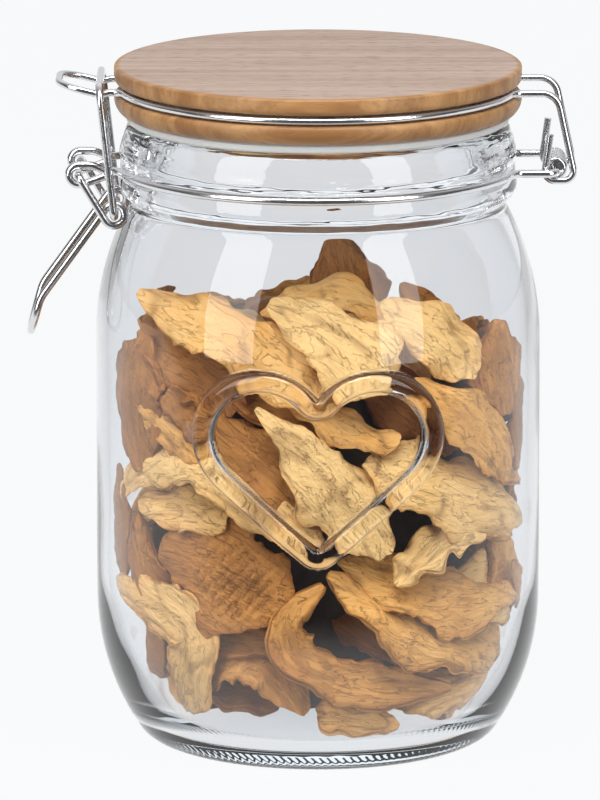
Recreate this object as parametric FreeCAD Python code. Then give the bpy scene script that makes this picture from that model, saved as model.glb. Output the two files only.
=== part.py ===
"""Clip-top storage jar: pressed glass with a heart ridge, wooden lid, wire bail and dried fruit.

Millimetres. The origin is at the middle of the base, +Z is up, the heart faces -Y,
the latch is at -X and the lid's hinge at +X.
"""
import FreeCAD
import Part
import math
import os

from FreeCAD import Vector

# ---- glass ----
BODY_RADIUS = 55.0
JAR_HEIGHT = 155.0
WALL = 3.0
BASE_THICKNESS = 6.0
FOOT_WIDTH = 3.5
PUSH_UP = 2.4
TOE_RADIUS = 7.2
HEEL_RADIUS = 60.0
HEEL_ANGLE = 33.5
SHOULDER_RADIUS = 68.7
MOUTH_RADIUS = 42.5
RIM_ROUND = 1.2

# ---- neck: thickness of the glass outside the mouth, and drops below the rim ----
WAIST_WALL = 3.6
BEAD_WALL = 6.7
WIRE_SEAT_WALL = 6.3
LIP_WALL = 6.6
RIM_WALL = 4.4
WAIST_DROP = 19.6
BEAD_LOW_DROP = 17.8
BEAD_HIGH_DROP = 13.2
WIRE_DROP = 11.0
LIP_DROP = 7.7
BEAD_ROUND = 1.0
WAIST_ROUND = 0.9
SHOULDER_END_DROP = 1.12
MOUTH_EASE = 0.5

# ---- heart ridge ----
HEART_HALF_WIDTH = 27.7
HEART_TIP_Z = 56.8
HEART_LOBE_RADIUS = 14.2
HEART_LOBE_Z = 86.2
HEART_DIP_RADIUS = 3.2
HEART_TIP_RADIUS = 3.2
RIDGE_WIDTH = 5.2
RIDGE_HEIGHT = 1.7
RIDGE_ROUND = 1.2

# ---- wooden lid ----
LID_OVERHANG = 3.3
LID_THICKNESS = 11.8
LID_ROUND = 1.4
GROOVE_WIDTH = 2.7
GROOVE_DEPTH = 2.2
GROOVE_BELOW_TOP = 5.5
PLUG_GAP = 2.1
PLUG_DEPTH = 4.6
PLUG_ROUND = 0.8

# ---- gasket ----
GASKET_THICKNESS = 2.0
GASKET_OVERHANG = 0.3
GASKET_SEAT_GAP = 0.2
GASKET_PLUG_GAP = 0.4
GASKET_CORNER = 0.4

# ---- wires ----
BAIL_WIRE = 2.0
LID_WIRE = 1.8
RUNNING_GAP = 0.3
WIRE_SEAT_GAP = 0.2
CORNER_BEND = 3.0

# ---- tongue, at the latch side of the lid wire ----
TONGUE_HALF_WIDTH = 9.7
TONGUE_LENGTH = 13.5
TONGUE_START = 0.6
TONGUE_START_BEND = 1.5
TONGUE_DIP = 0.5
TONGUE_RISE = 2.4
TONGUE_DIP_OUT = 3.4
TONGUE_BEND = 6.0
BAR_GAP = 0.45

# ---- hinge at +X ----
HINGE_OUT = 8.4
HOOK_COIL_GAP = 3.3
HOOK_ARM_GAP = 0.5
AXLE_BEND = 2.0
BRACKET_OUT = 0.2
BRACKET_BEND = 4.5
HOOK_OUT = 4.9
HOOK_IN = 3.0
HOOK_BEND = 2.4
PRONG_HEIGHT = 9.3
PRONG_LEAN = 1.6
COIL_TURNS = 7

# ---- latch at -X ----
PIVOT_OUT = 8.8
PIVOT_DROP = 1.0
EYE_HALF_WIDTH = 9.8
EYE_GAP = 0.4
EYE_START = 0.8
EYE_RAMP = 4.0
EYE_LEAD_BEND = 1.6
EYE_RAMP_BEND = 4.0
EYE_RETURN = 1.0
EYE_TAIL = 6.4
EYE_TAIL_RISE = 2.0
EYE_TAIL_BEND = 3.0
SIDE_GAP = 0.4
KNEE_STEP_GAP = 0.6
KNEE_PIN_GAP = 0.5
KNEE_DROP = 9.8
KNEE_GLASS_GAP = 0.5
HANDLE_BEND_OUT = 9.6
HANDLE_BEND_DROP = 31.0
HANDLE_TIP_OUT = 12.2
HANDLE_TIP_DROP = 40.4
HANDLE_BEND = 9.6
HANDLE_END_BEND = 7.5
PIN_BEND = 1.6
PIN_PAST = 2.2
LINK_BEND = 4.0

# ---- dried fruit ----
HEAP_GAP = 0.4
HEAP_BELOW_RIM = 43.0
HEAP_BULGE = 8.0
HEAP_SLOPE = 8.0
HEAP_DENT = 3.2
HEAP_LUMP = 2.2
HEAP_EDGE_IN = 8.0
HEAP_FOOT_IN = 20.0
HEAP_SHOULDER = 3.0
HEAP_LOWEST_ROW = 0.06
HEAP_COLUMNS = 40
HEAP_WALL_ROWS = 14
HEAP_TOP_ROWS = 6

# places that follow from the sizes above: the glass
INNER_RADIUS = BODY_RADIUS - WALL
FLOOR_Z = BASE_THICKNESS
INNER_HEEL_RADIUS = HEEL_RADIUS - 2 * WALL
INNER_TOE_RADIUS = TOE_RADIUS + WALL
INNER_SHOULDER_RADIUS = SHOULDER_RADIUS - WALL
WAIST_RADIUS = MOUTH_RADIUS + WAIST_WALL
BEAD_RADIUS = MOUTH_RADIUS + BEAD_WALL
WIRE_SEAT_RADIUS = MOUTH_RADIUS + WIRE_SEAT_WALL
LIP_RADIUS = MOUTH_RADIUS + LIP_WALL
RIM_RADIUS = MOUTH_RADIUS + RIM_WALL
WAIST_Z = JAR_HEIGHT - WAIST_DROP
BEAD_LOW = JAR_HEIGHT - BEAD_LOW_DROP
BEAD_HIGH = JAR_HEIGHT - BEAD_HIGH_DROP
WIRE_Z = JAR_HEIGHT - WIRE_DROP
LIP_Z = JAR_HEIGHT - LIP_DROP
SHOULDER_AXIS = BODY_RADIUS - SHOULDER_RADIUS
SHOULDER_END_RADIUS = WAIST_RADIUS + WAIST_ROUND / 3
SHOULDER_RISE = math.sqrt(SHOULDER_RADIUS**2 - (SHOULDER_END_RADIUS - SHOULDER_AXIS) ** 2)
SHOULDER_Z = WAIST_Z - SHOULDER_END_DROP - SHOULDER_RISE

# the lid, its gasket and its wire
LID_RADIUS = RIM_RADIUS + LID_OVERHANG
GASKET_RADIUS = RIM_RADIUS + GASKET_OVERHANG
PLUG_RADIUS = MOUTH_RADIUS - PLUG_GAP
GASKET_BOTTOM = JAR_HEIGHT + GASKET_SEAT_GAP
LID_BOTTOM = GASKET_BOTTOM + GASKET_THICKNESS
LID_TOP = LID_BOTTOM + LID_THICKNESS
GROOVE_Z = LID_TOP - GROOVE_BELOW_TOP
LID_RING_RADIUS = LID_RADIUS - GROOVE_DEPTH + WIRE_SEAT_GAP / 2 + LID_WIRE / 2
NECK_RING_RADIUS = WIRE_SEAT_RADIUS + WIRE_SEAT_GAP + BAIL_WIRE / 2
TONGUE_LOW_Z = GROOVE_Z - TONGUE_DIP

# the hinge
HINGE_X = NECK_RING_RADIUS + HINGE_OUT
HINGE_Z = WIRE_Z
HOOK_HALF_WIDTH = (COIL_TURNS * BAIL_WIRE + LID_WIRE) / 2 + HOOK_COIL_GAP
NECK_ARM_HALF_WIDTH = HOOK_HALF_WIDTH + (BAIL_WIRE + LID_WIRE) / 2 + HOOK_ARM_GAP

# the latch, from the pins outwards
PIVOT_X = -NECK_RING_RADIUS - PIVOT_OUT
PIVOT_Z = WIRE_Z - PIVOT_DROP
EYE_RADIUS = BAIL_WIRE + EYE_GAP
LEVER_HALF_WIDTH = EYE_HALF_WIDTH + BAIL_WIRE + SIDE_GAP
HANDLE_HALF_WIDTH = LEVER_HALF_WIDTH - BAIL_WIRE - KNEE_STEP_GAP
LINK_HALF_WIDTH = LEVER_HALF_WIDTH + BAIL_WIRE + SIDE_GAP
KNEE_RADIUS = BAIL_WIRE + KNEE_PIN_GAP
KNEE_Z = PIVOT_Z - KNEE_DROP
KNEE_REACH = SHOULDER_RADIUS + KNEE_RADIUS + BAIL_WIRE / 2 + KNEE_GLASS_GAP
KNEE_R = SHOULDER_AXIS + math.sqrt(KNEE_REACH**2 - (KNEE_Z - SHOULDER_Z) ** 2)
KNEE_X = -math.sqrt(KNEE_R**2 - LEVER_HALF_WIDTH**2)
HANDLE_BEND_X = PIVOT_X - HANDLE_BEND_OUT
HANDLE_BEND_Z = PIVOT_Z - HANDLE_BEND_DROP
HANDLE_TIP_X = PIVOT_X - HANDLE_TIP_OUT
HANDLE_TIP_Z = PIVOT_Z - HANDLE_TIP_DROP
LINK_BAR_X = -LID_RADIUS - TONGUE_DIP_OUT
LINK_BAR_Z = TONGUE_LOW_Z + BAR_GAP + (BAIL_WIRE + LID_WIRE) / 2

# the heap
HEAP_TOP = JAR_HEIGHT - HEAP_BELOW_RIM
HEAP_EDGE = INNER_RADIUS - HEAP_EDGE_IN
HEAP_FOOT = INNER_RADIUS - HEAP_FOOT_IN


def outline(start, steps):
    """Edges of an outline in the r-z plane. A step is a point, or (middle point, end point) of an arc."""
    edges, here = [], Vector(start[0], 0, start[1])
    for step in steps:
        if isinstance(step[0], tuple):
            middle, end = [Vector(p[0], 0, p[1]) for p in step]
            edges.append(Part.Arc(here, middle, end).toShape())
        else:
            end = Vector(step[0], 0, step[1])
            edges.append(Part.LineSegment(here, end).toShape())
        here = end
    return edges


def turned(start, steps):
    """The solid of a closed r-z outline turned about the Z axis."""
    steps = list(steps) + [start]
    face = Part.Face(Part.Wire(outline(start, steps)))
    return face.revolve(Vector(0, 0, 0), Vector(0, 0, 1), 360)


def on_circle(centre, radius, degrees):
    """The point of a circle in the r-z plane at an angle from the outward direction."""
    a = math.radians(degrees)
    return (centre[0] + radius * math.cos(a), centre[1] + radius * math.sin(a))


def heel_arcs(wall_radius, foot_z, heel_radius, toe_radius):
    """Two tangent arcs from the foot up to a straight wall: (start, steps) from the lowest point."""
    drop = heel_radius * math.sin(math.radians(HEEL_ANGLE))
    rise = toe_radius * (1 - math.sin(math.radians(HEEL_ANGLE)))
    heel = (wall_radius - heel_radius, foot_z + drop + rise)
    joint = on_circle(heel, heel_radius, -HEEL_ANGLE)
    toe = (joint[0] - toe_radius * math.cos(math.radians(HEEL_ANGLE)), foot_z + toe_radius)
    start = (toe[0], foot_z)
    low = (on_circle(toe, toe_radius, -(90 + HEEL_ANGLE) / 2), joint)
    high = (on_circle(heel, heel_radius, -HEEL_ANGLE / 2), (wall_radius, heel[1]))
    return start, [low, high]


def shoulder_arc(wall_radius, arc_radius, end_radius):
    """The arc that leads a straight wall in to a narrower radius: (middle, end) points."""
    centre = (wall_radius - arc_radius, SHOULDER_Z)
    sweep = math.degrees(math.acos((end_radius - centre[0]) / arc_radius))
    return (on_circle(centre, arc_radius, sweep / 2), on_circle(centre, arc_radius, sweep))


def glass_outside():
    start, heel = heel_arcs(BODY_RADIUS, 0.0, HEEL_RADIUS, TOE_RADIUS)
    foot_in = start[0] - FOOT_WIDTH
    steps = [
        *heel,
        (BODY_RADIUS, SHOULDER_Z),
        shoulder_arc(BODY_RADIUS, SHOULDER_RADIUS, SHOULDER_END_RADIUS),
        ((WAIST_RADIUS, WAIST_Z), (WAIST_RADIUS + 0.9 * WAIST_ROUND, WAIST_Z + WAIST_ROUND)),
        (BEAD_RADIUS - BEAD_ROUND, BEAD_LOW),
        (
            (BEAD_RADIUS, (BEAD_LOW + BEAD_HIGH) / 2),
            (WIRE_SEAT_RADIUS, BEAD_HIGH + 0.4 * BEAD_ROUND),
        ),
        (WIRE_SEAT_RADIUS, LIP_Z - 1.6 * BEAD_ROUND),
        (LIP_RADIUS, LIP_Z),
        (RIM_RADIUS + 0.3, JAR_HEIGHT - RIM_ROUND),
        (
            (RIM_RADIUS - 0.2, JAR_HEIGHT - 0.35 * RIM_ROUND),
            (RIM_RADIUS - RIM_ROUND, JAR_HEIGHT),
        ),
        (0.0, JAR_HEIGHT),
        (0.0, PUSH_UP),
        ((foot_in * 0.6, PUSH_UP * 0.7), (foot_in, 0.0)),
    ]
    return turned(start, steps)


def glass_cavity():
    """The space inside the glass, from the floor out through the mouth."""
    start, heel = heel_arcs(INNER_RADIUS, FLOOR_Z, INNER_HEEL_RADIUS, INNER_TOE_RADIUS)
    steps = [
        *heel,
        (INNER_RADIUS, SHOULDER_Z),
        shoulder_arc(INNER_RADIUS, INNER_SHOULDER_RADIUS, MOUTH_RADIUS + MOUTH_EASE),
        ((MOUTH_RADIUS, WAIST_Z + 2 * MOUTH_EASE), (MOUTH_RADIUS, WAIST_Z + 6 * MOUTH_EASE)),
        (MOUTH_RADIUS, JAR_HEIGHT - RIM_ROUND),
        (
            (MOUTH_RADIUS + 0.35 * RIM_ROUND, JAR_HEIGHT - 0.35 * RIM_ROUND),
            (MOUTH_RADIUS + RIM_ROUND, JAR_HEIGHT),
        ),
        (MOUTH_RADIUS + RIM_ROUND, JAR_HEIGHT + 1.0),
        (0.0, JAR_HEIGHT + 1.0),
        (0.0, FLOOR_Z),
    ]
    return turned(start, steps)


def heart_outline(grow):
    """The heart's outline in the X-Z plane: two round lobes, straight flanks, rounded tip and dip."""
    lobe_x = HEART_HALF_WIDTH - HEART_LOBE_RADIUS
    lobe = HEART_LOBE_RADIUS + grow
    tip = HEART_TIP_RADIUS + grow
    dip = HEART_DIP_RADIUS - grow
    tip_z = HEART_TIP_Z + HEART_TIP_RADIUS
    # the flank is the outer tangent of the lobe's circle and the tip's circle
    across, up = lobe_x, HEART_LOBE_Z - tip_z
    lean = math.atan2(up, across) - math.asin(
        (HEART_LOBE_RADIUS - HEART_TIP_RADIUS) / math.hypot(across, up)
    )
    out = (math.sin(lean), -math.cos(lean))
    # the dip's circle sits above, between the lobes, and touches both
    dip_centre_z = HEART_LOBE_Z + math.sqrt(
        (HEART_LOBE_RADIUS + HEART_DIP_RADIUS) ** 2 - lobe_x**2
    )
    touch = HEART_LOBE_RADIUS + HEART_DIP_RADIUS
    to_dip = (-lobe_x / touch, (dip_centre_z - HEART_LOBE_Z) / touch)

    def point(x, z):
        return Vector(x, 0, z)

    def side(s):
        flank_low = point(s * tip * out[0], tip_z + tip * out[1])
        flank_high = point(s * (lobe_x + lobe * out[0]), HEART_LOBE_Z + lobe * out[1])
        lobe_end = point(s * (lobe_x + lobe * to_dip[0]), HEART_LOBE_Z + lobe * to_dip[1])
        lobe_mid = point(s * (lobe_x + lobe * math.sin(0.6)), HEART_LOBE_Z + lobe * math.cos(0.6))
        return flank_low, flank_high, lobe_mid, lobe_end

    right, left = side(1), side(-1)
    bottom = point(0, tip_z - tip)
    top = point(0, dip_centre_z - dip)
    return Part.Wire(
        [
            Part.Arc(left[0], bottom, right[0]).toShape(),
            Part.LineSegment(right[0], right[1]).toShape(),
            Part.Arc(right[1], right[2], right[3]).toShape(),
            Part.Arc(right[3], top, left[3]).toShape(),
            Part.Arc(left[3], left[2], left[1]).toShape(),
            Part.LineSegment(left[1], left[0]).toShape(),
        ]
    )


def heart_ridge():
    """A rounded band in the heart's outline that stands RIDGE_HEIGHT out of the round wall."""
    outer = Part.Face(heart_outline(RIDGE_WIDTH / 2))
    inner = Part.Face(heart_outline(-RIDGE_WIDTH / 2))
    band = outer.cut(inner).extrude(Vector(0, -2 * BODY_RADIUS, 0))
    skin = Part.makeCylinder(BODY_RADIUS + RIDGE_HEIGHT, SHOULDER_Z + 20).cut(
        Part.makeCylinder(INNER_RADIUS + WALL / 2, SHOULDER_Z + 20)
    )
    ridge = band.common(skin).Solids[0]
    crest = [
        e
        for e in ridge.Edges
        if all(
            math.hypot(p.x, p.y) > BODY_RADIUS + RIDGE_HEIGHT - 0.01
            for p in e.discretize(5)
        )
    ]
    return ridge.makeFillet(RIDGE_ROUND, crest)


def jar_glass():
    outside = glass_outside().fuse(heart_ridge())
    return outside.cut(glass_cavity()).removeSplitter().Solids[0]


def lid_wood():
    """Two rounded discs with a groove between them, and a plug that drops into the mouth."""
    low = LID_BOTTOM
    groove_low, groove_high = GROOVE_Z - GROOVE_WIDTH / 2, GROOVE_Z + GROOVE_WIDTH / 2
    groove_in = LID_RADIUS - GROOVE_DEPTH
    plug_low = low - PLUG_DEPTH
    r = LID_ROUND

    def rounded(z, side, inward):
        """A quarter round at the rim: from the flat at z to the side, or back."""
        flat, rim = (LID_RADIUS - r, z), (LID_RADIUS, z + side * r)
        middle = (LID_RADIUS - 0.293 * r, z + side * 0.293 * r)
        return (middle, flat if inward else rim)

    steps = [
        (PLUG_RADIUS - PLUG_ROUND, plug_low),
        (PLUG_RADIUS, plug_low + PLUG_ROUND),
        (PLUG_RADIUS, low),
        (LID_RADIUS - r, low),
        rounded(low, 1, False),
        (LID_RADIUS, groove_low - r),
        rounded(groove_low, -1, True),
        (groove_in, groove_low),
        (groove_in, groove_high),
        (LID_RADIUS - r, groove_high),
        rounded(groove_high, 1, False),
        (LID_RADIUS, LID_TOP - r),
        rounded(LID_TOP, -1, True),
        (0.0, LID_TOP),
    ]
    return turned((0.0, plug_low), steps)


def gasket():
    """A flat silicone ring with soft corners, squeezed between the lid and the rim."""
    inner, outer = PLUG_RADIUS + GASKET_PLUG_GAP, GASKET_RADIUS
    low, high, c = GASKET_BOTTOM, LID_BOTTOM, GASKET_CORNER
    return turned(
        (inner, low),
        [(outer - c, low), (outer, low + c), (outer, high - c), (outer - c, high), (inner, high)],
    )


def bent_path(corners, bends):
    """A path of straight runs and tangent arcs: one bend radius for each inner corner."""
    points = [Vector(*p) for p in corners]
    edges, here = [], points[0]
    for before, corner, after, bend in zip(points, points[1:], points[2:], bends):
        back, ahead = (before - corner).normalize(), (after - corner).normalize()
        half = back.getAngle(ahead) / 2
        reach = bend / math.tan(half)
        start, end = corner + back * reach, corner + ahead * reach
        inward = (back + ahead).normalize()
        middle = corner + inward * (bend / math.sin(half) - bend)
        if (start - here).Length > 1e-4:
            edges.append(Part.LineSegment(here, start).toShape())
        edges.append(Part.Arc(start, middle, end).toShape())
        here = end
    if (points[-1] - here).Length > 1e-4:
        edges.append(Part.LineSegment(here, points[-1]).toShape())
    return Part.Wire(edges)


def ring_exit(ring, half_width, bend):
    """Where a ring's wire turns out along X at a half width: (on the ring, middle, on the line)."""
    cy = half_width + bend
    cx = math.sqrt((ring + bend) ** 2 - cy**2)
    on_ring = Vector(cx, cy, 0) * (ring / (ring + bend))
    centre = Vector(cx, cy, 0)
    on_line = Vector(cx, half_width, 0)
    middle = centre + ((on_ring + on_line) * 0.5 - centre).normalize() * bend
    return on_ring, middle, on_line


def placed(p, sx, sy, z):
    return Vector(sx * p.x, sy * p.y, z)


def swept(path, diameter):
    """A round wire along a path, with a section square to its first edge."""
    first = path.OrderedEdges[0]
    start, direction = first.valueAt(first.FirstParameter), first.tangentAt(first.FirstParameter)
    if path.OrderedVertexes[0].Point.distanceToPoint(start) > 1e-6:
        start = first.valueAt(first.LastParameter)
        direction = first.tangentAt(first.LastParameter)
    circle = Part.Wire(Part.makeCircle(diameter / 2, start, direction))
    wire = path.makePipe(Part.Face(circle))
    return wire.Solids[0]


def half_ring(ring, z, side, latch_half, hinge_half, bend):
    """The front or back half of a ring, with the turns that lead out to the latch and the hinge."""
    at_latch = ring_exit(ring, latch_half, bend)
    at_hinge = ring_exit(ring, hinge_half, bend)
    latch = [placed(p, -1, side, z) for p in at_latch]
    hinge = [placed(p, 1, side, z) for p in at_hinge]
    middle = Vector(0, side * ring, z)
    edges = [
        Part.Arc(latch[2], latch[1], latch[0]).toShape(),
        Part.Arc(latch[0], middle, hinge[0]).toShape(),
        Part.Arc(hinge[0], hinge[1], hinge[2]).toShape(),
    ]
    return edges, latch[2], hinge[2]


def lid_wire():
    """One wire round the groove of the lid: a tongue at the latch and two hooks at the hinge."""
    h = TONGUE_HALF_WIDTH
    arms = [
        half_ring(LID_RING_RADIUS, GROOVE_Z, s, h, HOOK_HALF_WIDTH, CORNER_BEND) for s in (-1, 1)
    ]
    start_x = arms[0][1].x
    tip_x, tip_z = -LID_RADIUS - TONGUE_LENGTH, TONGUE_LOW_Z + TONGUE_RISE
    tongue = bent_path(
        [
            (start_x, -h, GROOVE_Z),
            (start_x - TONGUE_START, -h, GROOVE_Z),
            (LINK_BAR_X, -h, TONGUE_LOW_Z),
            (tip_x, -h, tip_z),
            (tip_x, h, tip_z),
            (LINK_BAR_X, h, TONGUE_LOW_Z),
            (start_x - TONGUE_START, h, GROOVE_Z),
            (start_x, h, GROOVE_Z),
        ],
        [TONGUE_START_BEND] + [TONGUE_BEND] * 4 + [TONGUE_START_BEND],
    )
    pieces = [swept(tongue, LID_WIRE)]
    hook_z = HINGE_Z - (BAIL_WIRE + LID_WIRE) / 2 - RUNNING_GAP
    for (edges, _, line), s in zip(arms, (-1, 1)):
        y = s * HOOK_HALF_WIDTH
        bracket = bent_path(
            [
                (line.x, y, GROOVE_Z),
                (HINGE_X + BRACKET_OUT, y, GROOVE_Z),
                (HINGE_X + HOOK_OUT, y, hook_z),
                (HINGE_X - HOOK_IN, y, hook_z),
                (HINGE_X - HOOK_IN + PRONG_LEAN, y, HINGE_Z + PRONG_HEIGHT),
            ],
            [BRACKET_BEND, HOOK_BEND, HOOK_BEND],
        )
        pieces.append(swept(Part.Wire(edges), LID_WIRE))
        pieces.append(swept(bracket, LID_WIRE))
    return pieces[0].fuse(pieces[1:]).removeSplitter().Solids[0]


def axle_coil():
    """The wire's turns wound close round the middle of the axle."""
    half = COIL_TURNS * BAIL_WIRE / 2
    r, bulge = BAIL_WIRE, BAIL_WIRE / 2
    here = Vector(r, -half, 0)
    edges = [Part.LineSegment(Vector(0, -half, 0), here).toShape()]
    for turn in range(COIL_TURNS):
        end = Vector(r, here.y + BAIL_WIRE, 0)
        edges.append(Part.Arc(here, Vector(r + bulge, here.y + bulge, 0), end).toShape())
        here = end
    edges.append(Part.LineSegment(here, Vector(0, half, 0)).toShape())
    edges.append(Part.LineSegment(Vector(0, half, 0), Vector(0, -half, 0)).toShape())
    coil = Part.Face(Part.Wire(edges)).revolve(Vector(0, 0, 0), Vector(0, 1, 0), 360)
    coil.translate(Vector(HINGE_X, 0, HINGE_Z))
    return coil


def neck_wire():
    """One wire round the neck: an eye, half the ring, the hinge's axle, the other half and its eye."""
    edges = []
    for s in (-1, 1):
        ring, latch, hinge = half_ring(
            NECK_RING_RADIUS, WIRE_Z, s, EYE_HALF_WIDTH, NECK_ARM_HALF_WIDTH, CORNER_BEND
        )
        y = s * EYE_HALF_WIDTH
        top, low, out = PIVOT_Z + EYE_RADIUS, PIVOT_Z - EYE_RADIUS, PIVOT_X - EYE_RADIUS
        eye = bent_path(
            [
                (latch.x, y, WIRE_Z),
                (latch.x - EYE_START, y, WIRE_Z),
                (latch.x - EYE_RAMP, y, top),
                (out, y, top),
                (out, y, low),
                (PIVOT_X + EYE_RETURN, y, low),
                (PIVOT_X + EYE_TAIL, y, low + EYE_TAIL_RISE),
            ],
            [EYE_LEAD_BEND, EYE_RAMP_BEND, EYE_RADIUS, EYE_RADIUS, EYE_TAIL_BEND],
        )
        edges += ring + eye.Edges
    w = NECK_ARM_HALF_WIDTH
    axle = bent_path(
        [
            (hinge.x, -w, HINGE_Z),
            (HINGE_X, -w, HINGE_Z),
            (HINGE_X, w, HINGE_Z),
            (hinge.x, w, HINGE_Z),
        ],
        [AXLE_BEND, AXLE_BEND],
    )
    path = Part.Wire(Part.__sortEdges__(edges + axle.Edges))
    return swept(path, BAIL_WIRE).fuse(axle_coil()).removeSplitter().Solids[0]


def knee_corners(s):
    """Corners of the loop from the lever's arm round the link's pin to the handle, at one side."""
    knee = (KNEE_X, KNEE_Z)

    def reach(x, z):
        away = math.hypot(x - knee[0], z - knee[1])
        return math.atan2(z - knee[1], x - knee[0]), math.acos(KNEE_RADIUS / away)

    bearing, opening = reach(PIVOT_X, PIVOT_Z)
    first = bearing + opening
    bearing, opening = reach(HANDLE_BEND_X, HANDLE_BEND_Z)
    last = bearing - opening + 2 * math.pi
    first = first - 2 * math.pi * math.floor(first / (2 * math.pi))
    last = last - 2 * math.pi * math.floor(last / (2 * math.pi)) + 2 * math.pi
    count = 4
    step = (last - first) / count
    out = KNEE_RADIUS / math.cos(step / 2)
    corners = []
    for n in range(count):
        angle = first + (n + 0.5) * step
        share = n / (count - 1)
        y = LEVER_HALF_WIDTH + share * (HANDLE_HALF_WIDTH - LEVER_HALF_WIDTH)
        corners.append((knee[0] + out * math.cos(angle), s * y, knee[1] + out * math.sin(angle)))
    return corners


def latch_lever():
    """One wire: a pin, an arm, a knee, the handle's U, and the same again at the other side."""
    pin_end = EYE_HALF_WIDTH - PIN_PAST

    def half(s):
        return [
            (PIVOT_X, s * pin_end, PIVOT_Z),
            (PIVOT_X, s * LEVER_HALF_WIDTH, PIVOT_Z),
            *knee_corners(s),
            (HANDLE_BEND_X, s * HANDLE_HALF_WIDTH, HANDLE_BEND_Z),
            (HANDLE_TIP_X, s * HANDLE_HALF_WIDTH, HANDLE_TIP_Z),
        ]

    bends = [PIN_BEND] + [KNEE_RADIUS * 0.97] * 4 + [HANDLE_BEND, HANDLE_END_BEND]
    return swept(bent_path(half(-1) + half(1)[::-1], bends + bends[::-1]), BAIL_WIRE)


def latch_link():
    """A wire frame that hangs its bar over the tongue and turns its two ends into the knees."""
    pin_end = HANDLE_HALF_WIDTH - PIN_PAST / 2
    w = LINK_HALF_WIDTH
    path = bent_path(
        [
            (KNEE_X, -pin_end, KNEE_Z),
            (KNEE_X, -w, KNEE_Z),
            (LINK_BAR_X, -w, LINK_BAR_Z),
            (LINK_BAR_X, w, LINK_BAR_Z),
            (KNEE_X, w, KNEE_Z),
            (KNEE_X, pin_end, KNEE_Z),
        ],
        [PIN_BEND, LINK_BEND, LINK_BEND, PIN_BEND],
    )
    return swept(path, BAIL_WIRE)


def inner_wall(z):
    """Radius of the glass's inside at a height: toe arc, heel arc, straight wall, shoulder arc."""
    start, steps = heel_arcs(INNER_RADIUS, FLOOR_Z, INNER_HEEL_RADIUS, INNER_TOE_RADIUS)
    joint_z, heel_z = steps[0][1][1], steps[1][1][1]
    if z < joint_z:
        return start[0] + math.sqrt(INNER_TOE_RADIUS**2 - (FLOOR_Z + INNER_TOE_RADIUS - z) ** 2)
    if z < heel_z:
        return INNER_RADIUS - INNER_HEEL_RADIUS + math.sqrt(INNER_HEEL_RADIUS**2 - (heel_z - z) ** 2)
    if z < SHOULDER_Z:
        return INNER_RADIUS
    return SHOULDER_AXIS + math.sqrt(INNER_SHOULDER_RADIUS**2 - (z - SHOULDER_Z) ** 2)


def heap_side(u, z):
    """Radius of the heap at a turn u and a height: the glass's inside less a gap and dents."""
    dent = 1 + 0.6 * math.sin(3 * u + z / 9) + 0.4 * math.sin(7 * u - z / 5)
    return inner_wall(z) - HEAP_GAP - HEAP_DENT * dent


def heap_top(u, share):
    """Height of the heap's top at a turn u and a share of its radius: a mound with lumps."""
    mound = HEAP_BULGE * (1 - share**2)
    lean = HEAP_SLOPE * share * (0.5 * math.sin(u) - math.cos(u))
    lumps = HEAP_LUMP * share * (math.sin(5 * u + 4 * share) + 0.7 * math.sin(3 * u - 6 * share))
    return HEAP_TOP + mound + lean + lumps


def fruit_heap():
    """The pile of dried slices as one solid: an uneven drum that follows the glass, with a lumpy top."""
    low = FLOOR_Z + HEAP_GAP
    edge = HEAP_EDGE / INNER_RADIUS
    turns = [2 * math.pi * n / HEAP_COLUMNS for n in range(HEAP_COLUMNS)]

    def at(u, radius, z):
        return Vector(radius * math.cos(u), radius * math.sin(u), z)

    rows = [[at(u, HEAP_FOOT, low) for u in turns]]
    for n in range(HEAP_WALL_ROWS):
        share = HEAP_LOWEST_ROW + (1 - HEAP_LOWEST_ROW) * n / (HEAP_WALL_ROWS - 1)
        row = []
        for u in turns:
            z = low + (heap_top(u, edge) - HEAP_SHOULDER - low) * share
            row.append(at(u, heap_side(u, z), z))
        rows.append(row)
    for n in range(HEAP_TOP_ROWS):
        share = edge * (1 - (n + 0.5) / HEAP_TOP_ROWS)
        rows.append([at(u, share * INNER_RADIUS, heap_top(u, share)) for u in turns])
    bottom, top = Vector(0, 0, low), Vector(0, 0, heap_top(0, 0))

    def face(*corners):
        return Part.Face(Part.makePolygon(list(corners) + [corners[0]]))

    faces = []
    for n in range(HEAP_COLUMNS):
        m = (n + 1) % HEAP_COLUMNS
        faces.append(face(bottom, rows[0][m], rows[0][n]))
        faces.append(face(top, rows[-1][n], rows[-1][m]))
        for below, above in zip(rows, rows[1:]):
            faces.append(face(below[n], below[m], above[m]))
            faces.append(face(below[n], above[m], above[n]))
    solid = Part.Solid(Part.Shell(faces))
    if solid.Volume < 0:
        solid.reverse()
    return solid


NODES = {
    "jar_glass": jar_glass,
    "neck_wire": neck_wire,
    "fruit_heap": fruit_heap,
    "lid_wood": lid_wood,
    "gasket": gasket,
    "lid_wire": lid_wire,
    "latch_lever": latch_lever,
    "latch_link": latch_link,
}

os.makedirs("parts", exist_ok=True)
for name, make in NODES.items():
    shape = make()
    shape.exportStep(f"parts/{name}.step")
    box = shape.BoundBox
    print(
        f"{name}: {shape.Volume / 1000:.2f} cm3, valid {shape.isValid()}, "
        f"x {box.XMin:.1f}..{box.XMax:.1f} y {box.YMin:.1f}..{box.YMax:.1f} "
        f"z {box.ZMin:.1f}..{box.ZMax:.1f}"
    )
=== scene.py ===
# %% [markdown]
# A clip-top storage jar of pressed glass. Its parts are a round glass body with a raised heart, a wooden
# lid on a soft ring, a wire clip, and a filling of dried fruit slices. The wires, the soft ring and the
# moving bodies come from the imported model. The glass, the fruit and the wood are made here, because their
# looks depend on smooth curves, rounded edges and fine wrinkles that a collision model leaves out.

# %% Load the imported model
import itertools
import math

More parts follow.
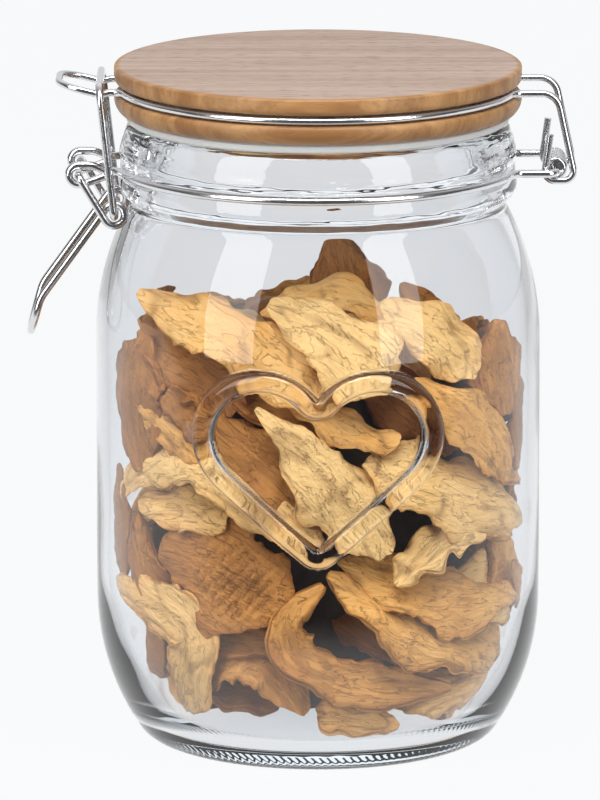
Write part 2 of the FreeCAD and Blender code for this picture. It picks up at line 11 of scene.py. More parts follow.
import bpy
import numpy as np
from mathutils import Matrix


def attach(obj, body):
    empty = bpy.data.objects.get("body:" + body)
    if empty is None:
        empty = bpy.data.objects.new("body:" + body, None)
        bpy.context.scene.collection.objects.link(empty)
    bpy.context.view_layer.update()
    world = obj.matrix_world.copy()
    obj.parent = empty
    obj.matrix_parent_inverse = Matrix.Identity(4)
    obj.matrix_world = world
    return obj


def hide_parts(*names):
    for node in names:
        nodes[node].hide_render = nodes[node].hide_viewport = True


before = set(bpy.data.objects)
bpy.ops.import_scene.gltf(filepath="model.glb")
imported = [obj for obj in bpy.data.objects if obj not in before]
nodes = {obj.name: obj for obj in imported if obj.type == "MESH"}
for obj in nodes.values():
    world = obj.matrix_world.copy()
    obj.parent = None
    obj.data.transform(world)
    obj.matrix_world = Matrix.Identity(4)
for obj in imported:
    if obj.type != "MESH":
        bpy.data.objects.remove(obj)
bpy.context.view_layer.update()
print("packed nodes:", sorted(nodes))

# %% [markdown]
# Every surface below is a grid of points worked out with numpy. A skin is such a grid closed round, with a
# single point at each end. The signed volume tells which way its faces look, so each skin is turned
# outwards before it is used. Lengths are in millimetres until the mesh is made, because the sizes of a
# jar read best that way.

# %% Closed skins from grids
MM = 0.001


def points_at(x, y, z):
    """Points from three arrays, or numbers, that stretch to one shape."""
    return np.stack(np.broadcast_arrays(x, y, z), -1)


def outward(points, quads, tris):
    """Turns the faces round if their signed volume, the sum of a . (b x c) / 6 over triangles, is below 0."""
    halves = np.concatenate([quads[:, [0, 1, 2]], quads[:, [0, 2, 3]], tris])
    a, b, c = (points[halves[:, n]] for n in range(3))
    if np.einsum("ij,ij->i", a, np.cross(b, c)).sum() < 0:
        return quads[:, ::-1], tris[:, ::-1]
    return quads, tris


def capped_skin(rows):
    """Rows of points, (rows, columns, 3), closed around, with a single point at each end."""
    count, around = rows.shape[:2]
    points = np.concatenate([rows.reshape(-1, 3), rows[:1].mean(axis=1), rows[-1:].mean(axis=1)])
    column = np.arange(around)
    after = (column + 1) % around
    low = np.arange(count - 1)[:, None] * around
    quads = np.stack([low + column, low + after, low + around + after, low + around + column], -1)
    last = (count - 1) * around
    first_cap = np.stack([after, column, np.full(around, count * around)], -1)
    last_cap = np.stack([last + column, last + after, np.full(around, count * around + 1)], -1)
    return (points, *outward(points, quads.reshape(-1, 4), np.concatenate([first_cap, last_cap])))


points, quads, tris = capped_skin(np.zeros((3, 4, 3)))
print("a skin of 3 rows and 4 columns:", len(points), "points,", len(quads), "quads,", len(tris), "triangles")

# %% [markdown]
# One object may hold many skins, such as all the slices on one side of the heap. A field is a number that
# the mesh carries at each point, and a finish can read it by name.

# %% Many skins in one object
def as_object(name, skins, fields=None):
    """One mesh object from a list of (points in mm, quads, tris), with a number per point for each field."""
    start, points, faces = 0, [], []
    for skin_points, quads, tris in skins:
        points.append(skin_points)
        faces += (quads + start).tolist() + (tris + start).tolist()
        start += len(skin_points)
    mesh = bpy.data.meshes.new(name)
    mesh.from_pydata((np.concatenate(points) * MM).tolist(), [], faces)
    mesh.polygons.foreach_set("use_smooth", np.ones(len(mesh.polygons), dtype=bool))
    for field, values in (fields or {}).items():
        mesh.attributes.new(field, "FLOAT", "POINT").data.foreach_set("value", np.concatenate(values))
    mesh.update()
    made = bpy.data.objects.new(name, mesh)
    bpy.context.scene.collection.objects.link(made)
    print(name, len(mesh.vertices), "points,", sum(len(f) - 2 for f in faces), "triangles")
    return made


# %% [markdown]
# Smooth hills give the wrinkles of the fruit and the faint waves of the glass. They are worked out here,
# so that the same numbers come out each run: a fixed value at each point of a lattice, blended smoothly
# between. The large numbers are the odd multipliers that hash functions use to scramble a lattice point.

# %% Smooth random hills
AXIS_PRIMES = (374761393, 668265263, 2246822519)
SEED_PRIME, FIRST_MIX, SECOND_MIX = 3266489917, 1274126177, 2654435761


def lattice_value(cell, seed):
    """A fixed number from 0 to 1 for each whole-number cell (x, y, z): multiply, mix and scramble."""
    cell = cell.astype(np.int64).astype(np.uint32)
    n = sum(cell[..., axis] * np.uint32(prime) for axis, prime in enumerate(AXIS_PRIMES))
    n = n + np.uint32((seed * SEED_PRIME) % 2**32)
    n = (n ^ (n >> np.uint32(13))) * np.uint32(FIRST_MIX)
    n = (n ^ (n >> np.uint32(16))) * np.uint32(SECOND_MIX)
    return (n >> np.uint32(8)).astype(float) / 2**24


def hills(place, size, seed):
    """Smooth hills from -1 to 1 about size across: the values of a cell's eight corners, blended."""
    scaled = place / size
    cell = np.floor(scaled)
    part = scaled - cell
    part = part * part * (3 - 2 * part)
    total = np.zeros(place.shape[:-1])
    for corner in itertools.product((0, 1), repeat=3):
        corner = np.array(corner)
        weight = np.where(corner == 1, part, 1 - part).prod(axis=-1)
        total += weight * lattice_value(cell + corner, seed)
    return 2 * total - 1


def rough(place, seed, *layers):
    """Hills of several sizes added up; each layer is (height, size, step of the seed)."""
    return sum(height * hills(place, size, seed + step) for height, size, step in layers)


print("hills at three places:", hills(np.eye(3) * 5.0, 4.0, 1).round(3))

# %% [markdown]
# Shader maths reads best as plain sums. A Value wraps one output of a node, and each of its operators adds
# the Math node that does the sum.

# %% Sums of nodes
class Value:
    """An output of a node that takes part in sums."""

    def __init__(self, finish, socket):
        self.finish, self.socket = finish, socket

    def maths(self, operation, *values):
        return self.finish.node("ShaderNodeMath", {"operation": operation}, dict(enumerate(values)))

    def __add__(self, other):
        return self.maths("ADD", self, other)

    def __sub__(self, other):
        return self.maths("SUBTRACT", self, other)

    def __rsub__(self, other):
        return self.maths("SUBTRACT", other, self)

    def __mul__(self, other):
        return self.maths("MULTIPLY", self, other)

    def __pow__(self, other):
        return self.maths("POWER", self, other)

    def sine(self):
        return self.maths("SINE", self)

    def size(self):
        return self.maths("ABSOLUTE", self)

    def step(self, low, high):
        """0 below low, 1 above high and smooth between; low may be the larger."""
        return self.finish.node(
            "ShaderNodeMapRange",
            {"interpolation_type": "SMOOTHSTEP"},
            {"Value": self, "From Min": low, "From Max": high},
        )

    __radd__, __rmul__ = __add__, __mul__


# %% [markdown]
# A Finish is a material, or the world, with one method that makes any node. The other methods are short
# names for the nodes that come up again and again: noise, mixed colours, bumps and the Principled shader.

# %% A finish made node by node
class Finish:
    """A material, or the world, whose nodes are made one by one."""

    def __init__(self, owner):
        owner.use_nodes = True
        self.owner, self.tree = owner, owner.node_tree
        self.tree.nodes.clear()

    def node(self, kind, settings=None, inputs=None, output=0, stops=None):
        """A node of any kind: its settings first, then its sockets' values or links. Gives one output."""
        made = self.tree.nodes.new(kind)
        for name, setting in (settings or {}).items():
            setattr(made, name, setting)
        if stops:
            ramp = made.color_ramp
            for place, _ in stops[1:-1]:
                ramp.elements.new(place)
            for element, (place, colour) in zip(ramp.elements, stops):
                element.position, element.color = place, (*colour, 1)
        for name, value in (inputs or {}).items():
            if isinstance(value, Value):
                self.tree.links.new(value.socket, made.inputs[name])
            else:
                made.inputs[name].default_value = value
        return Value(self, made.outputs[output])

    def place(self):
        """Where a point of the surface is on the object, in metres."""
        return self.node("ShaderNodeTexCoord", output="Object")

    def axes(self, vector):
        """The three numbers of a vector."""
        split = self.node("ShaderNodeSeparateXYZ", inputs={0: vector})
        return [Value(self, socket) for socket in split.socket.node.outputs]

    def stretched(self, vector, scale, turn=(0, 0, 0)):
        """A place with its axes turned and scaled, for grain that runs one way."""
        inputs = {"Vector": vector, "Scale": scale, "Rotation": turn}
        return self.node("ShaderNodeMapping", {"vector_type": "POINT"}, inputs)

    def noise(self, vector, scale, detail=3.0, roughness=0.55, distortion=0.0):
        """A noise from 0 to 1 whose hills are 1 / scale of a metre across."""
        inputs = {"Vector": vector, "Scale": scale, "Detail": detail}
        inputs.update({"Roughness": roughness, "Distortion": distortion})
        return self.node("ShaderNodeTexNoise", inputs=inputs)

    def mix(self, factor, first, second, blend="MIX"):
        """One colour blended into another."""
        first, second = [c if isinstance(c, Value) else (*c, 1) for c in (first, second)]
        settings = {"data_type": "RGBA", "blend_type": blend}
        return self.node("ShaderNodeMix", settings, {0: factor, 6: first, 7: second}, output=2)

    def stained(self, factor, colour, stain):
        """A colour with a see-through stain over it, as much as the factor says."""
        return self.mix(factor, colour, self.mix(1.0, colour, stain, "MULTIPLY"))

    def field(self, name):
        """A number that the mesh carries at each of its points."""
        return self.node("ShaderNodeAttribute", {"attribute_name": name}, output="Fac")

    def ray(self, kind):
        """1 for rays of one kind, such as those from the camera, and 0 for the rest."""
        return self.node("ShaderNodeLightPath", output="Is " + kind + " Ray")

    def bump(self, height, distance, strength=1.0):
        """A normal tilted as if the surface stood out by height times distance."""
        inputs = {"Height": height, "Distance": distance, "Strength": strength}
        return self.node("ShaderNodeBump", inputs=inputs)

    def principled(self, **inputs):
        """The Principled shader; a name's underscores stand for the spaces of its socket."""
        named = {name.replace("_", " "): value for name, value in inputs.items()}
        return self.node("ShaderNodeBsdfPrincipled", inputs=named)

    def surface(self, shader, volume=None):
        """Joins a shader, and a volume if there is one, to the output. Gives the material."""
        output = self.tree.nodes.new("ShaderNodeOutputMaterial")
        self.tree.links.new(shader.socket, output.inputs["Surface"])
        if volume:
            self.tree.links.new(volume.socket, output.inputs["Volume"])
        print(self.owner.name, "has", len(self.tree.nodes), "nodes")
        return self.owner


def new_finish(name):
    return Finish(bpy.data.materials.new(name))


# %% [markdown]
# The camera stands far off with a long lens, as for a catalogue: the jar's sides stay nearly parallel. It
# looks down by twelve degrees, so the lid shows its top. A small shift leaves room for the clip's handle.

# %% Camera
ELEVATION = math.radians(12.2)
DISTANCE, TARGET_Z = 2.2, 0.0845
LENS, SENSOR, SHIFT_X, SHIFT_Y = 399, 36, -0.0225, -0.001
camera = bpy.data.objects.new("camera", bpy.data.cameras.new("camera"))
camera.location = (0, -DISTANCE * math.cos(ELEVATION), TARGET_Z + DISTANCE * math.sin(ELEVATION))
camera.rotation_euler = (math.pi / 2 - ELEVATION, 0, 0)
camera.data.lens, camera.data.sensor_width = LENS, SENSOR
camera.data.shift_x, camera.data.shift_y = SHIFT_X, SHIFT_Y
bpy.context.scene.collection.objects.link(camera)
bpy.context.scene.camera = camera
bpy.context.scene.view_settings.view_transform = "Standard"
print("camera at", tuple(round(v, 3) for v in camera.location))

# %% [markdown]
# The glass is one turned surface. Its outline runs from the middle of the underside, up the outside,
# over the rim, down the inside and to the middle of the floor. Pressed glass has no sharp edge, so the
# outline is drawn from lines and arcs and then softened along its length.

# %% Outline of the glass
BODY_R, WALL, MOUTH_R, JAR_H, FLOOR_Z = 55.0, 3.0, 42.5, 155.0, 6.0
SHOULDER_Z, SHOULDER_R, HEEL_R, HEEL_DEG, TOE_R = 101.0, 68.7, 60.0, 33.5, 7.2
NECK_BASE_R, NECK_LOW_Z, FOOT_WIDTH, PUSH_UP = 46.4, 138.0, 3.5, 2.4
OUTLINE_STEP, OUTLINE_BLUR = 0.25, 0.55


def arc(centre, radius, start, end, count=40):
    """Points of an arc in the r-z plane; the angles are in degrees from the outward direction."""
    a = np.radians(np.linspace(start, end, count))
    return np.stack([centre[0] + radius * np.cos(a), centre[1] + radius * np.sin(a)], -1)


def body_side(radius, foot_z, heel_r, toe_r, shoulder_r, end_r):
    """Toe arc, heel arc, straight wall and shoulder arc, from the foot to the neck."""
    turn = math.radians(HEEL_DEG)
    heel = (radius - heel_r, foot_z + heel_r * math.sin(turn) + toe_r * (1 - math.sin(turn)))
    toe = (heel[0] + (heel_r - toe_r) * math.cos(turn), foot_z + toe_r)
    shoulder = (radius - shoulder_r, SHOULDER_Z)
    sweep = math.degrees(math.acos((end_r - shoulder[0]) / shoulder_r))
    arcs = arc(toe, toe_r, -90, -HEEL_DEG), arc(heel, heel_r, -HEEL_DEG, 0), arc(shoulder, shoulder_r, 0, sweep)
    return np.concatenate(arcs)


def run_along(line):
    """How far along a line each of its points is: the lengths of its pieces, added up."""
    return np.concatenate([[0], np.cumsum(np.hypot(*np.diff(line, axis=0).T))])


def softened(outline, spacing, blur):
    """An outline resampled evenly and blurred along its length by a bell curve; its ends stay."""
    run = run_along(outline)
    keep = np.concatenate([[True], np.diff(run) > 1e-6])
    even = np.arange(0, run[-1], spacing)
    line = np.stack([np.interp(even, run[keep], outline[keep, n]) for n in (0, 1)], -1)
    reach = int(3 * blur / spacing)
    bell = np.exp(-0.5 * (np.arange(-reach, reach + 1) * spacing / blur) ** 2)
    padded = np.concatenate([2 * line[:1] - line[reach:0:-1], line, 2 * line[-1:] - line[-2:-reach - 2:-1]])
    return np.stack([np.convolve(padded[:, n], bell / bell.sum(), "valid") for n in (0, 1)], -1)


side = body_side(BODY_R, 0.0, HEEL_R, TOE_R, SHOULDER_R, NECK_BASE_R)
foot_in = side[0, 0] - FOOT_WIDTH
neck = np.array([[46.3, 135.3], [47.2, 136.4], [48.5, 137.4], [49.2, 139.4], [48.9, 141.8], [48.7, 142.6],
                 [48.7, 145.6], [49.1, 147.3], [48.6, 149.5], [47.9, 152.0], [47.0, 154.2], [45.6, JAR_H]])
inner_side = body_side(BODY_R - WALL, FLOOR_Z, HEEL_R - 2 * WALL, TOE_R + WALL, SHOULDER_R - WALL,
                       MOUTH_R + 0.4)
bore = np.array([[43.6, JAR_H], [42.9, JAR_H - 0.6], [MOUTH_R, JAR_H - 2.0], [MOUTH_R, NECK_LOW_Z]])
underside = np.array([[0.0, PUSH_UP], [foot_in * 0.6, 1.7], [foot_in, 0.0]])
outside = softened(np.concatenate([underside, side, neck]), OUTLINE_STEP, OUTLINE_BLUR)
inside = softened(np.concatenate([bore, inner_side[::-1], [[0.0, FLOOR_Z]]]), OUTLINE_STEP, OUTLINE_BLUR)
outside[:, 1] = np.maximum(outside[:, 1], 0)
print("outline points:", len(outside), "outside,", len(inside), "inside")

# %% [markdown]
# The heart is a ridge pressed into the front. Its middle line is two round lobes, straight flanks, a small
# round tip and a small round dip between the lobes. The flank touches the tip's arc and the lobe's arc,
# which gives its lean.

# %% The heart's line
LOBE_R, LOBE_X, LOBE_Z, TIP_R, TIP_Z, DIP_R = 14.2, 13.5, 86.2, 3.2, 60.0, 3.2


def heart_line():
    """Points along the right half of the heart: tip arc, flank, lobe arc and dip arc; then mirrored."""
    rise = LOBE_Z - TIP_Z
    lean = math.atan2(rise, LOBE_X) - math.asin((LOBE_R - TIP_R) / math.hypot(LOBE_X, rise))
    start = math.degrees(lean) - 90
    dip_z = LOBE_Z + math.sqrt((LOBE_R + DIP_R) ** 2 - LOBE_X**2)
    end = math.degrees(math.atan2(dip_z - LOBE_Z, -LOBE_X))
    tip = arc((0, TIP_Z), TIP_R, -90, start, 20)
    lobe = arc((LOBE_X, LOBE_Z), LOBE_R, start, end, 160)
    flank = np.linspace(tip[-1], lobe[0], 90)
    dip = arc((0, dip_z), DIP_R, end - 180, -90, 20)
    half = np.concatenate([tip, flank, lobe, dip])
    return np.concatenate([half, half * [-1, 1]])


heart = heart_line()
print("the heart's line is", round(float(np.ptp(heart[:, 0])), 1), "mm wide")

# %% [markdown]
# The grid of the glass is fine where there is something to see and coarse elsewhere, so that the whole jar
# stays light: narrow columns in front, where the ridge is, and close rows at the ridge, neck and foot.

# %% Rows and columns of the glass
FRONT_DEG, FRONT_STEP_DEG, BACK_COLUMNS = 33.5, 0.325, 92
RIDGE_GAP, RING_GAP, WALL_GAP, INNER_GAP = 0.42, 0.6, 2.2, 2.4


def rows_along(outline, gap):
    """Picks points of an outline so that the gaps follow a wish given by radius and height."""
    wish = gap(outline[:, 0], outline[:, 1])
    run = np.concatenate([[0], np.cumsum(np.hypot(*np.diff(outline, axis=0).T) / wish[1:])])
    steps = np.linspace(0, run[-1], int(run[-1]) + 1)
    return np.stack([np.interp(steps, run, outline[:, n]) for n in (0, 1)], -1)


def outer_gap(r, z):
    """Wide under the middle, close at the heart, the neck and the foot, and wide on the plain wall."""
    rings = np.where((z > 132) | (z < 8), RING_GAP, WALL_GAP)
    return np.where(r < 34, 3.0, np.where((z > 52) & (z < 105), RIDGE_GAP, rings))


def inner_gap(r, z):
    """Wide under the middle, close at the rim and wide on the plain wall."""
    return np.where(r < 34, 4.0, np.where(z > 150, RING_GAP, INNER_GAP))


front_turns = np.radians(np.arange(-FRONT_DEG, FRONT_DEG, FRONT_STEP_DEG))
back_turns = np.radians(np.linspace(FRONT_DEG, 360 - FRONT_DEG, BACK_COLUMNS, endpoint=False))
turns = np.concatenate([front_turns, back_turns]) - math.pi / 2
outer_rows, inner_rows = rows_along(outside, outer_gap)[1:], rows_along(inside, inner_gap)[:-1]
outline_rows = np.concatenate([outer_rows, inner_rows])
print("glass grid:", len(outline_rows), "rows of", len(turns), "columns")

# %% [markdown]
# The distance from a point of the wall to the heart's line gives the ridge's height there: a rounded bank
# with steep sides. The steep sides bend light away and look dark, more than the mesh alone can show, so
# the field called bent marks the foot of each side, where the finish paints dark shade into the glass.
# Faint waves keep the wall from looking machined. They fade out at the foot and at the neck.

# %% The glass with its heart
RIDGE_H, RIDGE_HALF = 2.6, 2.6
BENT_AT, BENT_WIDTH = 0.93, 0.13
WAVE_H, WAVE_SIZE = 0.07, 17.0

around, (r, z) = turns[None, :], outline_rows.T[:, :, None]
near = np.flatnonzero((outer_rows[:, 1] > 45) & (outer_rows[:, 1] < 110))
columns = np.flatnonzero(np.abs(turns + math.pi / 2) < math.radians(38))
wall_x = (r[near] * np.cos(around[:, columns]))[..., None]
gaps = np.hypot(wall_x - heart[:, 0], z[near][..., None] - heart[:, 1]).min(axis=-1)
lift = np.zeros((len(outline_rows), len(turns)))
bent = np.zeros_like(lift)
lift[np.ix_(near, columns)] = RIDGE_H * np.clip(1 - (gaps / RIDGE_HALF) ** 2.4, 0, 1) ** 0.5
# bent marks where the finish paints dark shade into the glass: the foot of each steep side of the heart
bent[np.ix_(near, columns)] = np.exp(-(((gaps / RIDGE_HALF) - BENT_AT) / BENT_WIDTH) ** 2)
place = points_at(r * np.cos(around), r * np.sin(around), z)
wave = WAVE_H * hills(place, WAVE_SIZE, 5) * np.clip((z - 8) / 20, 0, 1) * np.clip((132 - z) / 10, 0, 1)
reach = r + lift + wave
grid = points_at(reach * np.cos(around), reach * np.sin(around), z)
painted_ridge_shade = np.concatenate([bent.ravel(), [0, 0]])
jar = as_object("jar_glass_clear", [capped_skin(grid)], {"bent": [painted_ridge_shade]})
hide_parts("jar_glass")
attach(jar, "jar")

# %% [markdown]
# Clear glass lets light through to the fruit. A true glass shader would leave the inside dark, because
# a renderer can't aim lamp light through two bends, so shadow rays pass straight through it. A slight
# absorption in the volume gives thick edges their cool tint. Three things are too fine for the mesh and
# are a bump: the slanted bars round the foot, which grip the shelf, the slow ripple of pressed glass,
# and faint streaks that run round the neck. Where the field called bent is high, at the foot of the heart's
# sides, painted shade turns the glass colour dark brown.

# %% Clear glass
BARS_ROUND, BARS_SLANT = 150, 1500
glass = new_finish("clear pressed glass")
spot = glass.place()
px, py, pz = glass.axes(spot)
bearing = glass.node("ShaderNodeMath", {"operation": "ARCTAN2"}, {0: py, 1: px})
foot = ((px * px + py * py) ** 0.5).step(0.0385, 0.0395)
bars = (bearing * BARS_ROUND + pz * BARS_SLANT).sine() * pz.step(0.0046, 0.0034) * pz.step(0.0, 0.0008) * foot
ripple = glass.noise(spot, 22.0, detail=1.0)
streaks = glass.noise(glass.stretched(spot, (30, 30, 170)), 1.0, detail=3.0) * pz.step(0.132, 0.137)
# Painted shade: the glass colour turns dark brown where the field called bent is high
clear = glass.principled(
    Base_Color=glass.mix(glass.field("bent"), (0.972, 0.983, 1.0), (0.05, 0.025, 0.015)),
    Roughness=0.0, IOR=1.5, Transmission_Weight=1.0,
    Normal=glass.bump(bars * 0.05 + ripple * 1.2 + streaks * 0.7, 0.0005),
)
passing = glass.node("ShaderNodeBsdfTransparent", inputs={0: (0.93, 0.95, 0.96, 1)})
both = glass.node("ShaderNodeMixShader", inputs={0: glass.ray("Shadow"), 1: clear, 2: passing})
cool = glass.node("ShaderNodeVolumeAbsorption", inputs={"Color": (0.78, 0.88, 0.93, 1), "Density": 9.0})
jar.data.materials.append(glass.surface(both, cool))

# %% [markdown]
# Each dried slice is a thin sheet that follows a curved line. Three things set where it goes: knots that
# its middle passes through, half widths along it, and the way its broad side looks. A cubic through the
# knots keeps the line smooth. Rows lie closer together at the two ends, where the outline turns fast. The
# heap as a whole is then stretched and moved a little, so that it fills the jar.

# %% The course of a slice
HEAP_SCALE, HEAP_SHIFT = np.array([1.05, 0.94, 1.0]), np.array([0.8, 0, 0])


def through(knots, where):
    """A smooth curve through knots: a cubic on each span whose slopes are the neighbours' chord."""
    knots = np.asarray(knots, float)
    if knots.ndim == 1:
        return through(knots[:, None], where)[:, 0]
    spans = len(knots) - 1
    padded = np.concatenate([2 * knots[:1] - knots[1:2], knots, 2 * knots[-1:] - knots[-2:-1]])
    at = np.clip(where, 0, 1) * spans
    k = np.minimum(at.astype(int), spans - 1)
    t = (at - k)[:, None]
    a, b, c, d = (padded[k + n] for n in range(4))
    return 0.5 * (2 * b + (c - a) * t + (2 * a - 5 * b + 4 * c - d) * t**2 + (3 * b - a - 3 * c + d) * t**3)


def unit(v):
    """Each vector divided by its own length."""
    return v / np.linalg.norm(v, axis=-1, keepdims=True)


def course(line, face, rows):
    """The share s along the line at each row, the spine, three directions there and the whole length.

    forward is the spine's slope, up is the face's look with its part along forward taken away, and across
    is at right angles to both.
    """
    s = 0.5 - 0.5 * np.cos(np.linspace(0.05, 0.95, rows) * math.pi)
    s = (s - s[0]) / (s[-1] - s[0]) * 0.985 + 0.0075
    spine = through(line, s) * HEAP_SCALE + HEAP_SHIFT
    forward = unit(np.gradient(spine, axis=0))
    looks = np.asarray(face, float)
    up = unit(looks - (looks * forward).sum(-1, keepdims=True) * forward)
    length = np.linalg.norm(np.diff(spine, axis=0), axis=1).sum()
    return s, spine, forward, np.cross(forward, up), up, length


trial = course([(0, 0, 0), (10, 0, 5), (20, 0, 0)], (0, -1, 0), 9)
print("a slice through three knots is", round(float(trial[-1]), 1), "mm long")

# %% [markdown]
# Slices lie flat on the wall where they touch it. Instead of placing each one exactly, points that come
# too near the glass are drawn in, gently at first, so a slice bends along the wall as a real one does.

# %% Held inside the glass
def inner_wall(z):
    """Radius of the glass's inside at each height, from the inside outline."""
    order = np.argsort(inside[:, 1])
    return np.interp(z, inside[order, 1], inside[order, 0])


def held_inside(points, space, softness):
    """Draws points in from the wall: the radius bends towards wall - space within softness of it."""
    radius = np.maximum(np.hypot(points[..., 0], points[..., 1]), 1e-6)
    limit = inner_wall(points[..., 2]) - space
    over = np.maximum(radius - limit + softness, 0)
    drawn = np.where(over > 0, limit - softness * np.exp(-over / softness), radius)
    points[..., :2] *= (drawn / radius)[..., None]
    points[..., 2] = np.maximum(points[..., 2], FLOOR_Z + 0.3)
    return points


print("inside radius half way up:", round(float(inner_wall(JAR_H / 2)), 2), "mm")

# %% [markdown]
# Drying wrinkles a slice along its fibres: long folds, fine fibres and a few sharp creases. These are
# hills read in the slice's own run and width and stretched along the run. Soft lumps are hills read in
# the object's own place. One broad slice also shows fine ribs across its middle.

# %% Folds, creases and ribs
FOLD_STRETCH, RIB_PITCH = 2.6, 2.5


def crease(place, size, width, seed):
    """Thin valley lines, 1 on the line and 0 away from it, where smooth hills pass through their middle."""
    return np.exp(-((hills(place, size, seed) / width) ** 2))


def wrinkles(points, run, c, flat, seed):
    """The relief in mm, from folds, lumps and fibres less two sizes of crease, and the painted shade each point
    gets in a crease or between folds.
    """
    skin_side = np.where(flat > 0, 0.0, 25.0)
    along = points_at(run / FOLD_STRETCH, c, skin_side + seed * 7.3)
    folds = 1 - np.abs(hills(along, 2.2, seed + 5)) * 2
    deep, fine = crease(along, 4.2, 0.13, seed + 6), crease(along + 40.0, 1.9, 0.2, seed + 7)
    lumps, fibres = hills(points, 5.0, seed + 8), hills(along, 0.9, seed + 9)
    relief = 0.16 * folds + 0.14 * lumps + 0.16 * fibres - 0.28 * deep - 0.1 * fine
    # The second number is painted shade: most in the deep creases, some in the fine ones and between folds.
    return relief, 0.5 * deep + 0.12 * fine + 0.1 * (1 - folds)


def ribs(points, run, c, t, s, seed):
    """A wavy sine along the run, and the zone that has it: the middle, away from the rims and the ends."""
    comb = np.sin(2 * math.pi * (run + 0.25 * c) / RIB_PITCH + 0.8 * hills(points, 8.0, seed))
    inner = np.clip(1.5 - np.abs(t) * 1.9, 0, 1)
    return comb, inner * np.clip((s - 0.25) * 6, 0, 1) * np.clip((0.92 - s) * 6, 0, 1)


trial = crease(np.random.default_rng(0).uniform(0, 99, (500, 3)), 4.2, 0.13, 1)
print("share of a face in a crease:", round(float((trial > 0.5).mean()), 3))

# %% [markdown]
# The sheet itself is a flat oval carried along the course. It bends into a cup, its two rims wander and
# ruffle, and the whole of it is warped a little, because no two parts of a slice dry at the same rate.
# Its ends are torn, and it is thinnest in the middle. Changing these few numbers makes long curls, cupped
# ovals and flat chips with one function.

# %% One dried slice
def signed_power(values, power):
    """The power of each number's size, with its sign kept."""
    return np.sign(values) * np.abs(values) ** power


def with_caps(values):
    """The values of a grid in the order of a capped skin's points: the grid, then each end's mean."""
    return np.concatenate([values.ravel(), values[[0, -1]].mean(axis=1)])


def sheet(line, widths, face, rows, around, seed, curl, thick, ruffle, waves, blunt, warped):
    """The slice before its wrinkles: spine + across c + up n, where c and n bend round the cup.

    t goes from -1 at one rim to 1 at the other, and flat from -1 under the sheet to 1 above it.
    """
    s, spine, forward, across, up, length = course(line, face, rows)
    turn = np.linspace(0, 2 * math.pi, around, endpoint=False)[None, :]
    t, flat = signed_power(np.cos(turn), 0.62), signed_power(np.sin(turn), 0.45)
    widths = through(widths, s)[:, None]
    s = s[:, None]
    run, end = s * length, (1 - np.abs(2 * s - 1) ** blunt) ** 0.5

    strip = points_at(run, np.where(t > 0, 3.0, 40.0), seed * 9.7)
    width = widths * end * (1 + t**2 * rough(strip, seed, (0.24, 8.0, 0), (0.16, 3.4, 3), (0.09, 1.6, 0)))
    c = width * t
    bend = curl * t * (1 + 0.35 * hills(points_at(run, 0 * t, seed * 3.1), 16, seed))
    bent_across = width * np.sinc(bend / math.pi) * t
    bent_up = width * t * np.sin(bend / 2) * np.sinc(bend / 2 / math.pi)

    phase = np.where(t > 0, 0.7, 2.9) + seed
    wave = ruffle * t**2 * np.sin(2 * math.pi * waves * s + phase) * end
    wave = wave + 0.9 * ruffle * t**2 * hills(strip, 6.0, seed + 9) * end
    middle = points_at(run, c, seed * 5.3)
    warp = warped * rough(middle, seed, (1.5, 12.0, 2), (0.5, 5.5, 4)) * (0.3 + 0.7 * end)
    tip = points_at(c, s * 0 + seed * 2.3, np.sign(s - 0.5))
    torn = 3.2 * rough(tip, seed, (1.0, 5.5, 12), (0.4, 2.2, 13)) * np.abs(2 * s - 1) ** 5
    n = flat * (0.36 * thick * end**0.7 * (0.55 + 0.5 * t**4))
    points = (
        spine[:, None]
        + forward[:, None] * torn[..., None]
        + across[:, None] * (bent_across - n * np.sin(bend))[..., None]
        + up[:, None] * (bent_up + n * np.cos(bend) + wave + warp)[..., None]
    )
    return held_inside(points, 1.0, 3.0), s, t, flat, run, c, end


def fruit_slice(line, widths, face, curl=0.5, thick=4.6, ruffle=1.7, waves=2.5, blunt=3.0, seed=1, tone=0.5,
                rows=72, around=64, gills=0.0, wrinkle=1.0, warped=1.0):
    """The skin and fields of one slice: the sheet, moved along its normals by its wrinkles."""
    points, s, t, flat, run, c, end = sheet(
        line, widths, face, rows, around, seed, curl, thick, ruffle, waves, blunt, warped)
    normal = unit(np.cross(np.gradient(points, axis=0), np.roll(points, -1, 1) - np.roll(points, 1, 1)))
    normal *= np.sign((normal * (points - points.mean(axis=1, keepdims=True))).sum(-1).sum())
    relief, crease_shade = wrinkles(points, run, c, flat, seed)
    if gills:
        comb, zone = ribs(points, run, c, t, s, seed)
        relief = relief + gills * comb * zone
        # Painted shade in the valleys between the ribs.
        crease_shade = crease_shade + 0.75 * zone * np.clip(-comb, 0, 1) ** 2
    points = points + normal * (wrinkle * relief * (0.35 + 0.65 * end))[..., None]
    fields = {
        "rim": with_caps(np.abs(t) ** 3 + 0 * s),
        "crease_shade": with_caps(np.clip(crease_shade, 0, 1)),
        "tone": with_caps(np.full((rows, around), float(tone))),
        "run": with_caps((run + 0 * t) * MM),
        "cross": with_caps((c + 90 * (flat > 0)) * MM),
    }
    return capped_skin(held_inside(points, 0.35, 0.2)), fields


def slices_object(name, designs, **shared):
    """Many slices in one mesh, each from its own line, widths and looks."""
    made = [fruit_slice(*design[:3], **{**shared, **design[3], "seed": n * 5 + shared.get("seed", 1)})
            for n, design in enumerate(designs)]
    fields = {key: [f[key] for _, f in made] for key in made[0][1]}
    whole = as_object(name, [skin for skin, _ in made], fields)
    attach(whole, "jar")
    return whole
